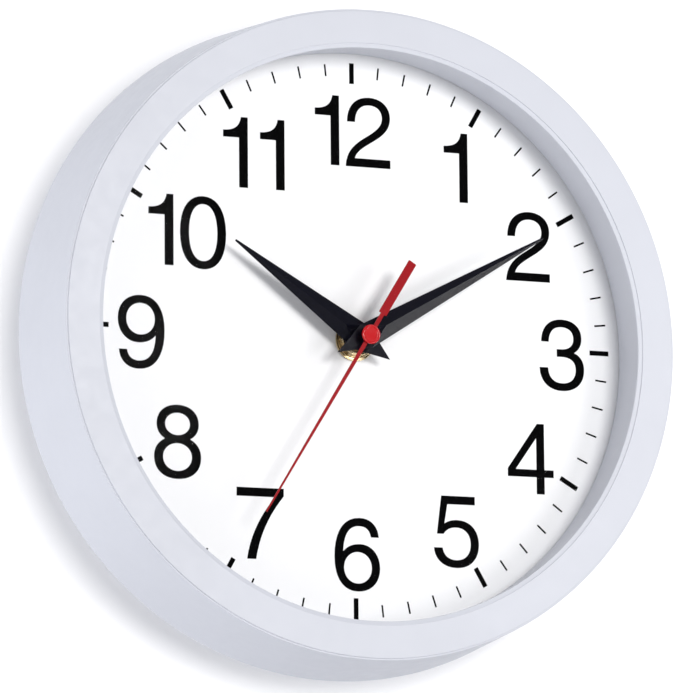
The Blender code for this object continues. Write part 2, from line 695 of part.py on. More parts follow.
def make_cover(look):
    """The movement's front cover, with the bushing's seat and three blind bearings."""
    half = HALF_MOVEMENT
    outline = rounded_rectangle((-half, -half), (half, half), MOVEMENT_CORNER)
    hole = circle(BUSHING_RADIUS + GAP, PART_SIDES)
    mesh = flat_mesh("movement_cover", [outline, hole], COVER_BACK, COVER_FRONT)
    cover = place("movement_cover", mesh, look)
    bearings = {"third": (THIRD_ARBOR, ARBOR_RADIUS), "motion": (MOTION_ARBOR, SECOND_ARBOR_RADIUS),
                "knob": (KNOB_ARBOR, SECOND_ARBOR_RADIUS)}
    for name, (spot, radius) in bearings.items():
        cut(cover, cylinder_tool(f"front_bearing_{name}", radius + RUNNING, COVER_BACK - GAP,
                                 FRONT_PIVOT + GAP / 2, spot, PART_SIDES))


def make_bushing(look):
    """The threaded bushing that carries the clock's movement and guides the hour pipe."""
    core = BUSHING_RADIUS - THREAD_DEPTH
    bore = HOUR_PIPE_RADIUS + RUNNING
    points = [(bore, BUSHING_FRONT), (core, BUSHING_FRONT)]
    turns = int((BUSHING_FRONT - WASHER_BACK) / THREAD_PITCH)
    for k in range(turns):
        level = BUSHING_FRONT - k * THREAD_PITCH
        points += [(BUSHING_RADIUS, level - THREAD_PITCH / 2), (core, level - THREAD_PITCH)]
    points.append((BUSHING_RADIUS, points[-1][1] - THREAD_PITCH / 2))
    points += [(BUSHING_RADIUS, COVER_BACK), (bore, COVER_BACK)]
    turned("threaded_bushing", points, look, True, PART_SIDES)


def make_washers_and_nut(rubber, brass):
    hole = BUSHING_RADIUS + GAP
    ring("rubber_washer", RUBBER_RADIUS, hole, RUBBER_BACK, RUBBER_BACK + RUBBER_THICKNESS, rubber)
    ring("brass_washer", WASHER_RADIUS, hole, WASHER_BACK, WASHER_BACK + WASHER_THICKNESS, brass)
    corner = NUT_ACROSS_FLATS / 2 / math.cos(math.radians(30))
    outline = circle(corner, 6)
    mesh = flat_mesh("hex_nut", [outline, circle(hole, PART_SIDES)], NUT_BACK, NUT_BACK + NUT_HEIGHT)
    place("hex_nut", mesh, brass)


def make_hanger(look):
    """A bent strip clamped behind the back plate, rising over the movement to the wall hook."""
    half = HANGER_WIDTH / 2
    front = HANGER_BACK + HANGER_SHEET / 2
    back = HOUSING_BACK + HANGER_SHEET / 2
    drop = HALF_MOVEMENT + HANGER_BEND
    path = [(-HANGER_FOOT, front), (drop, front), (drop, back), (HANGER_TOP, back)]
    mesh = bpy.data.meshes.new("wall_hanger")
    corners = [(side * half, y, z) for y, z in path for side in (-1, 1)]
    faces = [(2 * i, 2 * i + 1, 2 * i + 3, 2 * i + 2) for i in range(len(path) - 1)]
    mesh.from_pydata(corners, [], faces)
    hanger = place("wall_hanger", mesh, look)
    sheet = hanger.modifiers.new("Sheet", "SOLIDIFY")
    sheet.thickness = HANGER_SHEET
    sheet.offset = 0
    sheet.use_even_offset = True
    cut(hanger, cylinder_tool("hanger_bushing_hole", BUSHING_RADIUS + GAP, front - HANGER_SHEET,
                              front + HANGER_SHEET, (0.0, 0.0), PART_SIDES))
    slot = HOOK_SLOT_WIDTH / 2
    top = HOOK_HEIGHT - slot
    centre = (0.0, HOOK_HEIGHT - HOOK_HOLE_DROP)
    side = math.degrees(math.asin(slot / HOOK_HOLE_RADIUS))
    outline = arc(HOOK_HOLE_RADIUS, 90 + side, 450 - side, 20, centre) + arc(slot, 0, 180, 8, (0.0, top))
    mesh = flat_mesh("hook_keyhole", [outline], back - HANGER_SHEET, back + HANGER_SHEET)
    cut(hanger, tool(place("hook_keyhole", mesh, collection=CUTTERS)))


def make_gear_plate(look):
    """The plate between the seconds train and the minute work, with a hole for each arbor."""
    side = HALF_INSIDE - GAP
    outline = rounded_rectangle((-side, CHAMBER_BOTTOM + GAP), (side, GEAR_PLATE_TOP), GEAR_PLATE_CORNER)
    holes = [
        circle(SECOND_ARBOR_RADIUS + RUNNING, SMALL_SIDES),
        circle(ARBOR_RADIUS + RUNNING, SMALL_SIDES, THIRD_ARBOR),
        circle(ARBOR_RADIUS + RUNNING, SMALL_SIDES, INTERMEDIATE_ARBOR),
        circle(ARBOR_RADIUS + RUNNING, SMALL_SIDES, ROTOR_ARBOR),
        circle(KNOB_SHAFT_RADIUS + GAP, SMALL_SIDES, KNOB_ARBOR),
    ]
    mesh = flat_mesh("gear_plate", [outline, *holes], GEAR_PLATE_BACK, GEAR_PLATE_FRONT)
    place("gear_plate", mesh, look)


# ---------------------------------------------------------------- motor and electronics

def make_stator(look):
    """The stepping motor's iron: a U round the rotor whose legs meet the coil's core."""
    x, y = ROTOR_ARBOR
    half = COIL_SPAN / 2
    inner = half - STATOR_LEG
    bulge = MAGNET_RADIUS + STATOR_RING
    meet = math.degrees(math.asin(STATOR_LOW / bulge))
    top = COIL_OFFSET + COIL_CORE_WIDTH / 2
    outline = [(x - half, y - STATOR_LOW)]
    outline += arc(bulge, 180 + meet, 360 - meet, 10, (x, y))
    outline += [
        (x + half, y - STATOR_LOW), (x + half, y + top), (x + inner, y + top), (x + inner, y + STATOR_YOKE),
        (x - inner, y + STATOR_YOKE), (x - inner, y + top), (x - half, y + top),
    ]
    back = CHAMBER_FLOOR + LEVEL_STATOR
    hole = circle(MAGNET_RADIUS + MAGNET_CLEARANCE, COIL_SIDES, (x, y))
    place("stator", flat_mesh("stator", [outline, hole], back, back + STATOR_THICKNESS), look)


def make_coil(core_look, bobbin_look, copper):
    """The coil: an iron core through a plastic bobbin wound with copper."""
    x, y = ROTOR_ARBOR
    y += COIL_OFFSET
    back = CHAMBER_FLOOR + LEVEL_STATOR + STATOR_THICKNESS + GAP
    middle = back + COIL_CORE_THICKNESS / 2
    half = COIL_SPAN / 2
    wide = COIL_CORE_WIDTH / 2
    low = (x - half, y - wide, back)
    high = (x + half, y + wide, back + COIL_CORE_THICKNESS)
    place("coil_core", box_mesh("coil_core", low, high), core_look)

    end = BOBBIN_LENGTH / 2
    flange = end - BOBBIN_FLANGE
    points = [
        (0, end), (BOBBIN_RADIUS, end), (BOBBIN_RADIUS, flange), (BOBBIN_TUBE_RADIUS, flange),
        (BOBBIN_TUBE_RADIUS, -flange), (BOBBIN_RADIUS, -flange), (BOBBIN_RADIUS, -end), (0, -end),
    ]
    bobbin = turned("coil_bobbin", points, bobbin_look, False, COIL_SIDES)
    along_x = (0, math.radians(90), 0)
    bobbin.location = (x, y, middle)
    bobbin.rotation_euler = along_x
    low = (x - half, y - wide - GAP, back - GAP)
    high = (x + half, y + wide + GAP, back + COIL_CORE_THICKNESS + GAP)
    cut(bobbin, box_tool("core_slot", low, high))
    reach = flange - GAP
    winding = ring("coil_winding", BOBBIN_RADIUS - WINDING_INSET, BOBBIN_TUBE_RADIUS + GAP, -reach, reach,
                   copper, COIL_SIDES)
    winding.location = (x, y, middle)
    winding.rotation_euler = along_x


def make_board(board_look, chip_look, metal):
    """The circuit board with its bonded chip and quartz crystal."""
    (width, height), (x, y) = BOARD_SIZE, BOARD_CENTRE
    back = GEAR_PLATE_FRONT + GAP
    front = back + BOARD_THICKNESS
    low = (x - width / 2, y - height / 2, back)
    high = (x + width / 2, y + height / 2, front)
    place("circuit_board", box_mesh("circuit_board", low, high), board_look)
    dome = [(CHIP_RADIUS * across, CHIP_HEIGHT * up) for across, up in CHIP_DOME]
    points = [(0, CHIP_HEIGHT), *dome, (CHIP_RADIUS, 0), (0, 0)]
    spot = (x + width * CHIP_PLACE[0], y + height * CHIP_PLACE[1], front + GAP)
    turned("circuit_chip", points, chip_look, False, SMALL_SIDES, location=spot)
    mesh = cylinder_mesh("quartz_crystal", CRYSTAL_RADIUS, 0, CRYSTAL_LENGTH)
    spot = (x + width * CRYSTAL_PLACE[0], y + height * CRYSTAL_PLACE[1], front + GAP + CRYSTAL_RADIUS)
    crystal = place("quartz_crystal", mesh, metal, spot)
    crystal.rotation_euler = (0, math.radians(90), 0)


def make_battery(look, metal):
    """One AA cell in its bay, between two sheet contacts."""
    half = BATTERY_LENGTH / 2
    points = [
        (0, half + NUB_LENGTH), (NUB_RADIUS, half + NUB_LENGTH), (NUB_RADIUS, half),
        (BATTERY_RADIUS - EDGE_ROUND, half), (BATTERY_RADIUS, half - EDGE_ROUND),
        (BATTERY_RADIUS, EDGE_ROUND - half), (BATTERY_RADIUS - EDGE_ROUND, -half), (0, -half),
    ]
    battery = turned("battery", points, look, False, PART_SIDES)
    battery.location = (0, BATTERY_Y, BATTERY_LEVEL)
    battery.rotation_euler = (0, math.radians(90), 0)
    tall = BAY_HEIGHT / 2 - 3 * GAP
    for name, side in (("battery_contact_positive", 1), ("battery_contact_negative", -1)):
        outer = side * (HALF_INSIDE - GAP)
        inner = side * (HALF_INSIDE - GAP - CONTACT_SHEET)
        low = (min(outer, inner), BATTERY_Y - tall, HOUSING_BACK + 3 * GAP)
        high = (max(outer, inner), BATTERY_Y + tall, HOUSING_FRONT - GAP)
        place(name, box_mesh(name, low, high), metal)


# ---------------------------------------------------------------- wheels

def make_rotor(pinion_look, magnet_look):
    """The motor's magnet on its pinion."""
    back = CHAMBER_FLOOR + LEVEL_INTERMEDIATE
    phase = meshed_phase(ROTOR_ANGLE, ROTOR_ANGLE, INTERMEDIATE_WHEEL_TEETH, ROTOR_PINION_TEETH)
    mesh = gear_mesh("rotor_pinion", ROTOR_PINION_TEETH, ROTOR_MODULE, PINION_TOOTH, phase,
                     back - GAP, back + RIM + GAP)
    pinion = place("rotor_pinion", mesh, pinion_look, (*ROTOR_ARBOR, 0))
    join(pinion, cylinder_tool("rotor_arbor", ARBOR_RADIUS, REAR_PIVOT, GEAR_PLATE_FRONT - GAP / 2,
                               ROTOR_ARBOR))
    middle = CHAMBER_FLOOR + LEVEL_STATOR + STATOR_THICKNESS / 2
    behind, ahead = MAGNET_REACH
    ring("rotor_magnet", MAGNET_RADIUS, ARBOR_RADIUS + GAP, middle - behind, middle + ahead, magnet_look,
         COIL_SIDES, (*ROTOR_ARBOR, 0))


def make_intermediate_wheel(look):
    back = CHAMBER_FLOOR + LEVEL_INTERMEDIATE
    second = CHAMBER_FLOOR + LEVEL_SECOND
    mesh = gear_mesh("intermediate_wheel", INTERMEDIATE_WHEEL_TEETH, ROTOR_MODULE, WHEEL_TOOTH, ROTOR_ANGLE,
                     back, back + RIM)
    wheel = place("intermediate_wheel", mesh, look, (*INTERMEDIATE_ARBOR, 0))
    phase = meshed_phase(INTERMEDIATE_ANGLE, INTERMEDIATE_ANGLE, SECOND_WHEEL_TEETH,
                         INTERMEDIATE_PINION_TEETH)
    join(wheel, gear_tool("intermediate_pinion", INTERMEDIATE_ARBOR, INTERMEDIATE_PINION_TEETH,
                          SECOND_MODULE, PINION_TOOTH, phase, back + RIM / 2, second + RIM + GAP / 2))
    join(wheel, cylinder_tool("intermediate_arbor", ARBOR_RADIUS, REAR_PIVOT, GEAR_PLATE_FRONT - GAP / 2,
                           INTERMEDIATE_ARBOR))


def make_second_wheel(look, steel):
    """The wheel that the motor turns once a minute, on the arbor that carries the second hand."""
    back = CHAMBER_FLOOR + LEVEL_SECOND
    third = CHAMBER_FLOOR + LEVEL_THIRD
    mesh = gear_mesh("second_wheel", SECOND_WHEEL_TEETH, SECOND_MODULE, WHEEL_TOOTH, INTERMEDIATE_ANGLE,
                     back, back + SECOND_RIM)
    wheel = place("second_wheel", mesh, look)
    join(wheel, cylinder_tool("second_hub", SECOND_WHEEL_HUB, back + RIM / 2, third + RIM / 2))
    join(wheel, gear_tool("second_pinion", (0.0, 0.0), SECOND_PINION_TEETH, THIRD_MODULE, PINION_TOOTH,
                          THIRD_ANGLE, third - GAP / 2, third + RIM + GAP / 4))
    cut(wheel, cylinder_tool("second_bore", SECOND_ARBOR_RADIUS + GAP / 3, back - GAP, third + RIM + GAP))
    mesh = cylinder_mesh("second_arbor", SECOND_ARBOR_RADIUS, REAR_PIVOT, SECOND_FRONT)
    place("second_arbor", mesh, steel)


def make_third_wheel(look):
    back = CHAMBER_FLOOR + LEVEL_THIRD
    minute = CHAMBER_FLOOR + LEVEL_MINUTE
    phase = meshed_phase(THIRD_ANGLE, THIRD_ANGLE, SECOND_PINION_TEETH, THIRD_WHEEL_TEETH)
    mesh = gear_mesh("third_wheel", THIRD_WHEEL_TEETH, THIRD_MODULE, WHEEL_TOOTH, phase, back, back + RIM)
    wheel = place("third_wheel", mesh, look, (*THIRD_ARBOR, 0))
    phase = meshed_phase(THIRD_ANGLE, THIRD_ANGLE, MINUTE_WHEEL_TEETH, THIRD_PINION_TEETH)
    join(wheel, gear_tool("third_pinion", THIRD_ARBOR, THIRD_PINION_TEETH, MINUTE_MODULE, PINION_TOOTH,
                          phase, minute - GAP / 2, minute + RIM + GAP / 2))
    join(wheel, cylinder_tool("third_arbor", ARBOR_RADIUS, REAR_PIVOT, FRONT_PIVOT, THIRD_ARBOR))


def make_minute_wheel(look):
    """The centre wheel, the cannon pinion and the pipe that carries the minute hand."""
    back = CHAMBER_FLOOR + LEVEL_MINUTE
    motion = CHAMBER_FLOOR + LEVEL_MOTION
    mesh = gear_mesh("minute_wheel", MINUTE_WHEEL_TEETH, MINUTE_MODULE, WHEEL_TOOTH, THIRD_ANGLE,
                     back, back + RIM)
    wheel = place("minute_wheel", mesh, look)
    join(wheel, cylinder_tool("minute_pipe", MINUTE_PIPE_RADIUS, back - GAP / 2, MINUTE_LEVEL + PIPE_END,
                              sides=HUB_SIDES))
    join(wheel, gear_tool("cannon_pinion", (0.0, 0.0), CANNON_TEETH, CANNON_MODULE, PINION_TOOTH,
                          MOTION_ANGLE, motion - GAP, motion + RIM + GAP / 2))
    bore = SECOND_ARBOR_RADIUS + RUNNING
    cut(wheel, cylinder_tool("minute_bore", bore, back - 2 * GAP, MINUTE_LEVEL + BORE_END))


def make_motion_wheel(look):
    """The reduction between the cannon pinion and the hour wheel."""
    back = CHAMBER_FLOOR + LEVEL_MOTION
    hour = CHAMBER_FLOOR + LEVEL_HOUR
    mesh = gear_mesh("motion_wheel", MOTION_WHEEL_TEETH, CANNON_MODULE, WHEEL_TOOTH, MOTION_PHASE,
                     back, back + RIM)
    wheel = place("motion_wheel", mesh, look, (*MOTION_ARBOR, 0))
    phase = meshed_phase(MOTION_ANGLE, MOTION_ANGLE, HOUR_WHEEL_TEETH, MOTION_PINION_TEETH)
    join(wheel, gear_tool("motion_pinion", MOTION_ARBOR, MOTION_PINION_TEETH, HOUR_MODULE, PINION_TOOTH,
                          phase, back + RIM / 2, hour + RIM + GAP / 2))
    join(wheel, cylinder_tool("motion_arbor", SECOND_ARBOR_RADIUS, back - GAP, FRONT_PIVOT, MOTION_ARBOR))


def make_hour_wheel(look):
    """The hour wheel and its pipe, which runs in the bushing and carries the hour hand."""
    back = CHAMBER_FLOOR + LEVEL_HOUR
    mesh = gear_mesh("hour_wheel", HOUR_WHEEL_TEETH, HOUR_MODULE, WHEEL_TOOTH, MOTION_ANGLE,
                     back, back + RIM)
    wheel = place("hour_wheel", mesh, look)
    join(wheel, cylinder_tool("hour_pipe", HOUR_PIPE_RADIUS, back + RIM / 2, HOUR_LEVEL + PIPE_END,
                              sides=PART_SIDES))
    cut(wheel, cylinder_tool("hour_bore", MINUTE_PIPE_RADIUS + RUNNING, back - GAP, HOUR_LEVEL + BORE_END,
                             sides=HUB_SIDES))


def make_setting_knob(look):
    """The hand-setting knob: a grooved disc in the housing's recess, its shaft and its pinion."""
    motion = CHAMBER_FLOOR + LEVEL_MOTION
    low = HOUSING_BACK
    high = HOUSING_BACK + KNOB_HEIGHT
    points = [
        (0, FRONT_PIVOT), (SECOND_ARBOR_RADIUS, FRONT_PIVOT), (SECOND_ARBOR_RADIUS, motion + RIM / 2),
        (KNOB_SHAFT_RADIUS, motion + RIM / 2), (KNOB_SHAFT_RADIUS, high - GAP), (0, high - GAP),
    ]
    knob = turned("setting_knob", points, look, False, SMALL_SIDES, location=(*KNOB_ARBOR, 0))
    outline = []
    for k in range(KNOB_GRIPS):
        for share, radius in GRIP_SHAPE:
            outline.append(polar(KNOB_RADIUS * radius, 360 * (k + share) / KNOB_GRIPS))
    disc = place("knob_disc", flat_mesh("knob_disc", [outline], low, high), location=(*KNOB_ARBOR, 0),
                 collection=CUTTERS)
    join(knob, tool(disc))
    phase = meshed_phase(KNOB_ANGLE, MOTION_PHASE, MOTION_WHEEL_TEETH, KNOB_PINION_TEETH)
    join(knob, gear_tool("knob_pinion", KNOB_ARBOR, KNOB_PINION_TEETH, KNOB_MODULE, PINION_TOOTH, phase,
                         motion - GAP, motion + RIM + GAP / 2))


# ---------------------------------------------------------------- hands

def make_ridged_hand(name, look, reach, tail, half_width, level, direction, pipe_radius):
    """A pressed sheet hand with a ridge down its blade, a pointed tail and a hub round its pipe."""
    peak = RIDGE_START + RIDGE_RISE
    tip = HAND_TIP_HALF_WIDTH
    corners = [
        (tip, reach, 0), (-tip, reach, 0), (0, reach, HAND_RIDGE * tip / half_width),
        (half_width, 0, 0), (-half_width, 0, 0), (0, -tail, 0),
        (0, RIDGE_START, 0), (0, peak, HAND_RIDGE),
    ]
    faces = [(3, 0, 2, 7), (7, 2, 1, 4), (3, 7, 6), (6, 7, 4), (6, 4, 5, 3)]
    mesh = bpy.data.meshes.new(name)
    mesh.from_pydata(corners, [], faces)
    hand = place(name, mesh, look, (0, 0, level), -math.radians(direction))
    sheet = hand.modifiers.new("Sheet", "SOLIDIFY")
    sheet.thickness = HAND_SHEET
    sheet.offset = -1
    bore = pipe_radius + GAP
    hub = bore + HAND_HUB_WALL
    join(hand, cylinder_tool(f"{name}_hub", hub, level - HAND_HUB_HEIGHT, level - HAND_SHEET / 2,
                             sides=HUB_SIDES))
    cut(hand, cylinder_tool(f"{name}_bore", bore, level - 2 * HAND_HUB_HEIGHT, level + HAND_RIDGE,
                            sides=HUB_SIDES))


def make_second_hand(look):
    """The second hand: a thin pointer and a bar-shaped counterweight on a round hub, under a cap."""
    pointer = SECOND_HALF_WIDTH
    hub = SECOND_HUB_RADIUS
    side = math.degrees(math.asin(pointer / hub))
    outline = [(SECOND_TIP_HALF_WIDTH, SECOND_REACH), (-SECOND_TIP_HALF_WIDTH, SECOND_REACH)]
    outline += arc(hub, 90 + side, 270 - side, 6)
    weight = WEIGHT_HALF_WIDTH
    outline += [
        (-pointer, -WEIGHT_START), (-weight, -WEIGHT_START), (-weight, -SECOND_TAIL), (weight, -SECOND_TAIL),
        (weight, -WEIGHT_START), (pointer, -WEIGHT_START),
    ]
    outline += arc(hub, -90 + side, 90 - side, 6)
    hole = circle(SECOND_ARBOR_RADIUS + GAP, SMALL_SIDES)
    mesh = flat_mesh("second_hand", [outline, hole], 0, SECOND_SHEET)
    place("second_hand", mesh, look, (0, 0, SECOND_LEVEL), -math.radians(SECOND_DIRECTION))
    rim = CAP_HEIGHT * CAP_RIM_HEIGHT
    points = [
        (0, CAP_FRONT - rim), (CAP_RADIUS * CAP_DISH, CAP_FRONT - rim), (CAP_RADIUS * CAP_CREST, CAP_FRONT),
        (CAP_RADIUS - rim, CAP_FRONT), (CAP_RADIUS, CAP_FRONT - rim), (CAP_RADIUS, CAP_BACK), (0, CAP_BACK),
    ]
    turned("second_hand_cap", points, look, False, PART_SIDES)


# ---------------------------------------------------------------- assembly

def make_clock():
    white = material("white_plastic", (0.80, 0.81, 0.85), 0.35)
    clear = material("clear_lens", (0.95, 0.96, 0.97), 0.05)
    paper = material("dial_print", (0.93, 0.93, 0.94), 0.6)
    black = material("black_plastic", (0.02, 0.02, 0.022), 0.45)
    natural = material("natural_plastic", (0.75, 0.73, 0.66), 0.4)
    rubber = material("rubber", (0.03, 0.03, 0.03), 0.8)
    brass = material("brass", (0.70, 0.52, 0.24), 0.3, 1.0)
    steel = material("steel", (0.55, 0.56, 0.58), 0.3, 1.0)
    iron = material("motor_iron", (0.35, 0.35, 0.36), 0.4, 1.0)
    copper = material("copper_wire", (0.72, 0.35, 0.2), 0.35, 1.0)
    board = material("circuit_board", (0.35, 0.27, 0.12), 0.5)
    magnet = material("magnet", (0.08, 0.08, 0.09), 0.5)
    label = material("battery_label", (0.05, 0.12, 0.3), 0.4)
    hand_black = material("hand_black", (0.012, 0.012, 0.015), 0.35)
    hand_red = material("hand_red", (0.62, 0.015, 0.03), 0.35)

    make_bezel(white)
    make_lens(clear)
    make_dial(paper)
    make_back_plate(white)
    make_screws(steel)
    make_housing(black)
    make_cover(black)
    make_bushing(brass)
    make_washers_and_nut(rubber, brass)
    make_hanger(steel)
    make_gear_plate(natural)
    make_stator(iron)
    make_coil(iron, natural, copper)
    make_board(board, black, steel)
    make_battery(label, steel)
    make_rotor(natural, magnet)
    make_intermediate_wheel(natural)
    make_second_wheel(natural, steel)
    make_third_wheel(natural)
    make_minute_wheel(natural)
    make_motion_wheel(natural)
    make_hour_wheel(natural)
    make_setting_knob(black)
    make_ridged_hand("hour_hand", hand_black, HOUR_REACH, HOUR_TAIL, HOUR_HALF_WIDTH, HOUR_LEVEL,
                     HOUR_DIRECTION, HOUR_PIPE_RADIUS)
    make_ridged_hand("minute_hand", hand_black, MINUTE_REACH, MINUTE_TAIL, MINUTE_HALF_WIDTH, MINUTE_LEVEL,
                     MINUTE_DIRECTION, MINUTE_PIPE_RADIUS)
    make_second_hand(hand_red)


empty_scene()
make_clock()
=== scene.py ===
"""Looks of the round wall clock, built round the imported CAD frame.

Pieces are drawn face on, as on paper: X to the right, Y up to twelve o'clock and Z towards the viewer,
with the hands' axis at X = Y = 0 and the wall at Z = 0. UPRIGHT then stands them up in the frame.
"""

import math

import bmesh
import bpy
from mathutils import Matrix, Vector


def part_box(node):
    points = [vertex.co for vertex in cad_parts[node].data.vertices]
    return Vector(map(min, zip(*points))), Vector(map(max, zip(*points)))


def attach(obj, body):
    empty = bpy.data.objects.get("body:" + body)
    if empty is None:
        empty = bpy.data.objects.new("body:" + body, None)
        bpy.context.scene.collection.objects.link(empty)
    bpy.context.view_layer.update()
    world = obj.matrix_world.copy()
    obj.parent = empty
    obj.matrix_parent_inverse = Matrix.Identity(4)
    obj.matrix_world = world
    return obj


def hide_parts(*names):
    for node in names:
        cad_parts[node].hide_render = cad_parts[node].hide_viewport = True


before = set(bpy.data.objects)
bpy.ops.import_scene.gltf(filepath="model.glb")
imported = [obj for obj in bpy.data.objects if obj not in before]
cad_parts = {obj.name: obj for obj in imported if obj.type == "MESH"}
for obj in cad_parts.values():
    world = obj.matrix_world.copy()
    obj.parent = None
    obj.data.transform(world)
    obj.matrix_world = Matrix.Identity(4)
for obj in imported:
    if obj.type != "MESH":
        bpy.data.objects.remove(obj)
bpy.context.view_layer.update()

# ---- places taken from the frame


def centre(node):
    """The middle of a CAD node's box."""
    low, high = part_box(node)
    return (Vector(low) + Vector(high)) / 2


def half_width(node):
    """Half of a CAD node's size along X: a round piece's radius."""
    low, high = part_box(node)
    return (high[0] - low[0]) / 2


def levels(node):
    """A CAD node's distances from the wall, nearest first."""
    low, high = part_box(node)
    return -high[1], -low[1]


AXIS_HEIGHT = centre("dial")[2]
UPRIGHT = Matrix.Translation((0, 0, AXIS_HEIGHT)) @ Matrix.Rotation(math.radians(90), 4, "X")
CASE_RADIUS = half_width("front_bezel")
CASE_FRONT = levels("front_bezel")[1]
DIAL_RADIUS = half_width("dial")
DIAL_BACK, DIAL_FRONT = levels("dial")
LENS_RADIUS = half_width("lens")
LENS_BACK, LENS_FRONT = levels("lens")
PLATE_RADIUS = half_width("back_plate")


def drawn(point):
    """A point of the frame in the drawing."""
    return UPRIGHT.inverted() @ Vector(point)


def over(node):
    """The move from the hands' axis to a CAD node's middle, in the dial's plane."""
    return Matrix.Translation((*drawn(centre(node))[:2], 0))


# ---- sizes

# Case
SKIRT_FLARE = 0.0040
STEP_WIDTH = 0.0007
STEP_DEPTH = 0.0005
FACE_WIDTH = 0.0123
LIP_SLOPE_WIDTH = 0.0016
LIP_SLOPE_DEPTH = 0.0009
LIP_STEP = 0.0004           # ledge between the face and its sloping inner edge
WALL_THICKNESS = 0.0022
THROAT_THICKNESS = 0.0016
THROAT_DRAFT = 0.00045
GAP = 0.0003
FACE_ROUND = 0.00025
INNER_FACE_ROUND = 0.6       # share of FACE_ROUND
EDGE_ROUND = 0.0003
LENS_ROUND = 0.0002

# Print
PRINT_THICKNESS = 0.00004
PRINT_OFFSET = (-0.00022, 0.00071)           # how far the print sits off the dial's centre
MINUTE_MARK = (0.00068, 0.00465, 0.1034)      # width, length, radius of its middle
HOUR_MARK = (0.0019, 0.0080, 0.1023)

# Ridged hands: reach, tail, half width at the hub, direction clockwise from twelve and pipe radius
HOUR_HAND = (0.0613, 0.0138, 0.0055, 304.0, 0.00285)
MINUTE_HAND = (0.0845, 0.0138, 0.0049, 60.3, 0.0019)
HAND_SHEET = 0.0003
HAND_EDGE = 0.00008
HAND_RIDGE = 0.0010
HAND_TIP_HALF_WIDTH = 0.0004
HAND_COLLAR = 0.0013
COLLAR_ROUND = 0.0001
RIDGE_START = 0.0055
RIDGE_RISE = 0.0030

# Second hand
SECOND_DIRECTION = 211.7
SECOND_REACH = 0.0805
SECOND_TAIL = 0.0335
SECOND_HALF_WIDTH = 0.0008
SECOND_TIP_HALF_WIDTH = 0.0003
SECOND_HUB_RADIUS = 0.0024
SECOND_EDGE = 0.00014
WEIGHT_START = 0.0096
WEIGHT_HALF_WIDTH = 0.0017
WEIGHT_ROUND = 0.0003
CAP_RIM_HEIGHT = 0.4         # share of the cap's height
CAP_DISH = 0.7               # share of the rim's height
CAP_DISH_RADIUS = 0.76       # shares of the cap's radius
CAP_CREST_RADIUS = 0.88
CAP_ROUNDS = (0.0, 0.0003, 0.00034, 0.0001, 0.0001, 0.0)

# Centre hardware
BUSHING_BORE = 0.00263
THREAD_PITCH = 0.0005
THREAD_DEPTH = 0.00028
THREAD_START = 0.0003        # below the bushing's end
WASHER_ROUND = 0.00012
NUT_CHAMFER = 0.6            # share of the corner's overhang past the flats
NUT_FACE = 0.97              # share of the flats' radius
NUT_CLEAR = 1.01             # share of the corners' radius
NUT_EDGE = 0.00006

# Back plate
PLATE_SHEET = 0.0012
RIB_HALF_WIDTH = 0.0007
RIB_DRAFT = 0.0001
RIB_RADII = (0.0920, 0.0440)
SPOKES = 6

# Screws
SCREWS = 6
SCREW_SHANK_RADIUS = 0.0011
SCREW_HEAD_HEIGHT = 0.0019
SCREW_EDGE_HEIGHT = 0.0004
SCREW_DOME_HEIGHT = 0.0015
SCREW_DOME_RADIUS = 1.3      # shares of the head's radius
SCREW_DOME_SHIFT = 0.3
CROSS_HALF_WIDTH = 0.00045
CROSS_REACH = 0.6            # share of the head's radius
CROSS_TAPER = 0.7
CROSS_DEPTH = 0.0011

# Hanger
HANGER_SHEET = 0.0006
HANGER_BEND = 0.0022         # above the movement
HANGER_BEND_ROUND = 0.0012
HANGER_CORNER = 0.0035
HANGER_FOOT_CORNER = 0.001
HANGER_EDGE = 0.00008
HOOK_HOLE_RADIUS = 0.0048
HOOK_HOLE_DROP = 0.0068      # from the bearing point to the round hole's centre
HOOK_SLOT_RADIUS = 0.0024

# Battery
NUB_LENGTH = 0.0012
NUB_RADIUS = 0.0027
SLEEVE_SHEET = 0.0001
SLEEVE_CUFF = 0.0006
CELL_END = (0.72, 0.70, 0.0003)    # recess in the flat end: shares of the radius, and depth
CELL_ROUND = 0.0003

# Knob
KNOB_GRIPS = 24
KNOB_HEIGHT = 0.0024
KNOB_GROOVE = 0.93           # share of the radius
KNOB_SLOT = (0.62, 0.0006)   # share of the radius, and half its width
KNOB_SLOT_DEPTH = 0.0010
KNOB_SLOT_ROUND = 0.0005
KNOB_SHAFT = (0.0012, 0.002, 0.0115)    # radius, where it starts inside the knob, and its end
KNOB_EDGE = 0.0001

# Raised marks on the movement's back
MARK_RISE = 0.0002
SIGN_INSET = 0.0022
SIGN_BAR = (0.00022, 0.0013)    # half its width and half its length
ARROW_RADIUS = 0.0063
ARROW_TURN = (35.0, 140.0)

# How far a cutting tool reaches past what it cuts
CUT = 0.001

# Fineness
CASE_SIDES = 256
ROUND_SIDES = 96
SMALL_SIDES = 48
ARC_STEPS = 5


# ---- outlines

def arc(radius, first, last, steps, middle=(0.0, 0.0)):
    """Points along an arc, with angles in degrees anticlockwise from +X."""
    points = []
    for step in range(steps + 1):
        angle = math.radians(first + (last - first) * step / steps)
        points.append((middle[0] + radius * math.cos(angle), middle[1] + radius * math.sin(angle)))
    return points


def circle(radius, steps=ROUND_SIDES, middle=(0.0, 0.0)):
    return arc(radius, 0, 360, steps, middle)[:-1]


def rectangle(left, right, low, high):
    return [(left, low), (right, low), (right, high), (left, high)]


